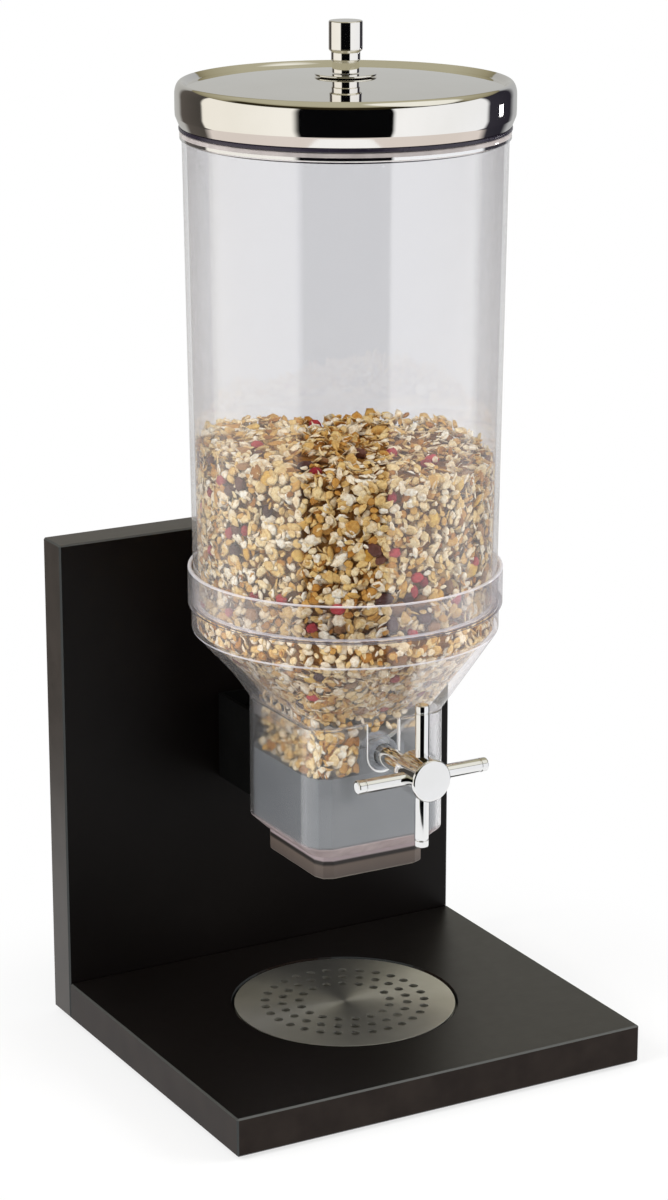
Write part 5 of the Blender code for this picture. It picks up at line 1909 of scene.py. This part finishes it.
def outside_sweep(places):
    """True for places clear of the turning vanes, and of the shaft's bushes."""
    x, y, z = places[:, 0], places[:, 1], places[:, 2] - SHAFT_Z
    near_shaft = np.hypot(x, z) < SWEEP_R + SWEEP_ROOM
    return ~(near_shaft & (np.abs(y) < SWEEP_HALF + SWEEP_END_ROOM))


slope = math.atan2(ledge_r - SPIGOT_HALF, cone_high - cone_low)
layers = [
    on_wall(hopper_reach, cone_low, cone_high, slope, depth * MM, spacing * MM, tilt)
    for depth, spacing, tilt in CONE_LAYERS
]
layers += [
    on_wall(hopper_reach, low_z, high_z, 0.0, depth * MM, spacing * MM, tilt)
    for low_z, high_z in ((cone_high, cone_roof), (cone_floor, cone_low))
    for depth, spacing, tilt in COLLAR_LAYERS
]
layers.append(on_level(hopper_reach, lambda x, y: cone_roof - 1 * MM + 0 * x, 6.0 * MM))
treats_at = [
    each
    for each in treats_on(layers[0], HOPPER_TREATS)
    if outside_sweep(np.array([each[1]]) - np.array([[0, 0, 4 * MM]]))[0]
]
leaves, fruit = drawn(layers, treats_at, hopper_reach, cone_floor, cone_roof, outside_sweep)
print("fruit and nuts in the hopper:", len(fruit))

# %% Core of the hopper's muesli
core_high, core_low = cone_roof - 2 * MM, cone_low + 18 * MM
core_rings = [ring_at(0.0, core_high)]
for z in (core_high, cone_high, core_low):
    core_rings.append(ring_at(hopper_reach(AROUND, z) - CORE_INSET, z))
core_rings.append(ring_at(0.0, core_low))
load("hopper_muesli", "hopper_body", leaves, fruit, UPRIGHT, skinned(core_rings, closed=False))

# %% [markdown]
# The wheel's upper pockets are full too. That food lies between two vanes and turns with them, just
# as the real wheel carries its portion round. Its leaves are drawn round the shaft, just inside the
# tips of the vanes, and each corner is then held between the two vanes and off the hub.

# %% Muesli in the wheel's pockets
VANES = 6
POCKET_LENGTH, POCKET_ARC, POCKET_SPACING = 52 * MM, 60 * MM, 4.6 * MM
POCKET_DEPTHS = (2.0 * MM, 3.5 * MM)
POCKET_HALF = 28.5 * MM
VANE_ROOM, HUB_ROOM, TIP_ROOM = 1.6 * MM, 10.5 * MM, 1.5 * MM

vane_r = radius_of("portion_wheel") - TIP_ROOM
pocket_angle = math.tau / VANES
pocket_leaves = []
for pocket in (1, 2):
    u, v = scattered(POCKET_LENGTH, POCKET_ARC, POCKET_SPACING)
    share = rng.uniform(0.12, 0.88, len(u))
    angle = pocket_angle * (pocket + 0.5 + share)
    radius = vane_r - (POCKET_DEPTHS[0] + POCKET_DEPTHS[1] * v)
    along = (2 * u - 1) * POCKET_LENGTH / 2
    places = np.stack([radius * np.cos(angle), radius * np.sin(angle), along], 1)
    normals = np.stack([np.cos(angle), np.sin(angle), np.zeros(len(u))], 1)
    corners = flakes(places, normals, half_lengths(len(places)), LOOSE_TILT)
    turn = np.arctan2(corners[..., 1], corners[..., 0]) % math.tau
    near = np.hypot(corners[..., 0], corners[..., 1])
    room = np.arcsin(np.minimum(VANE_ROOM / near, 1.0))
    first_vane = pocket_angle * (pocket + 0.5)
    turn = np.clip(turn, first_vane + room, first_vane + pocket_angle - room)
    near = np.clip(near, HUB_ROOM, vane_r)
    along = np.clip(corners[..., 2], -POCKET_HALF, POCKET_HALF)
    pocket_leaves.append(np.stack([near * np.cos(turn), near * np.sin(turn), along], -1))
load("pocket_muesli", "wheel", pocket_leaves, [], ALONG_SHAFT)

# %% [markdown]
# Some food always lies still on top of the grey insert, between the wheel and the housing's walls. It
# stays with the stand. It lies against the left and front walls, in two layers each, with its top
# sloping down towards the shaft's bush, which it leaves free.

# %% Muesli on top of the insert
SHELF_Z = 151.5 * MM
PILE_DEEP, PILE_SPACING, PILE_START = 24 * MM, 4.3 * MM, -34.0 * MM
PILE_WIDTHS = {"left": 56 * MM, "front": 26 * MM}
PILE_INSETS = (0.9 * MM, 2.3 * MM)
PILE_SLOPE, SLOPE_START = 0.35, -30 * MM
PILE_LEAN = 0.05
WHEEL_ROOM = 0.3 * MM

shelf, pile_top = SHELF_Z + CLEAR, housing_top - 0.8 * MM
wall_in = inner_half - CLEAR
bush_room = flange_r + 3.0 * MM
pile = []
for side, inset in ((side, inset) for side in PILE_WIDTHS for inset in PILE_INSETS):
    wide = PILE_WIDTHS[side]
    u, v = scattered(wide, PILE_DEEP, PILE_SPACING)
    if side == "left":
        x, y = -wall_in + inset + PILE_LEAN * u * wide, PILE_START + u * wide
        normals = np.tile((-1.0, 0.0, 0.0), (len(u), 1))
    else:
        x, y = PILE_START + u * wide, np.full(len(u), -wall_in + inset)
        normals = np.tile((0.0, -1.0, 0.0), (len(u), 1))
    z = shelf + v * PILE_DEEP
    low_enough = z < pile_top - PILE_SLOPE * np.maximum(0, x - SLOPE_START)
    places = np.stack([x, y, z], 1)[low_enough]
    lengths = half_lengths(len(places), 2.4, 4.2)
    corners = flakes(places, normals[low_enough], lengths, LOOSE_TILT)
    x, y, z = corners[..., 0], corners[..., 1], corners[..., 2]
    if side == "left":
        x = np.clip(x, -wall_in, -SWEEP_R - WHEEL_ROOM)
        y = np.clip(y, -wall_in, wall_in)
    else:
        x = np.clip(x, -wall_in, -bush_room)
        y = np.clip(y, -wall_in, -SWEEP_HALF - WHEEL_ROOM)
    reach = square_reach(wall_in, inner_corner, np.arctan2(y, x)) / np.hypot(x, y)
    keep_in = np.minimum(1, reach)
    pile.append(np.stack([x * keep_in, y * keep_in, np.clip(z, shelf, pile_top)], -1))
load("outlet_muesli", "stand", pile, [], UPRIGHT)
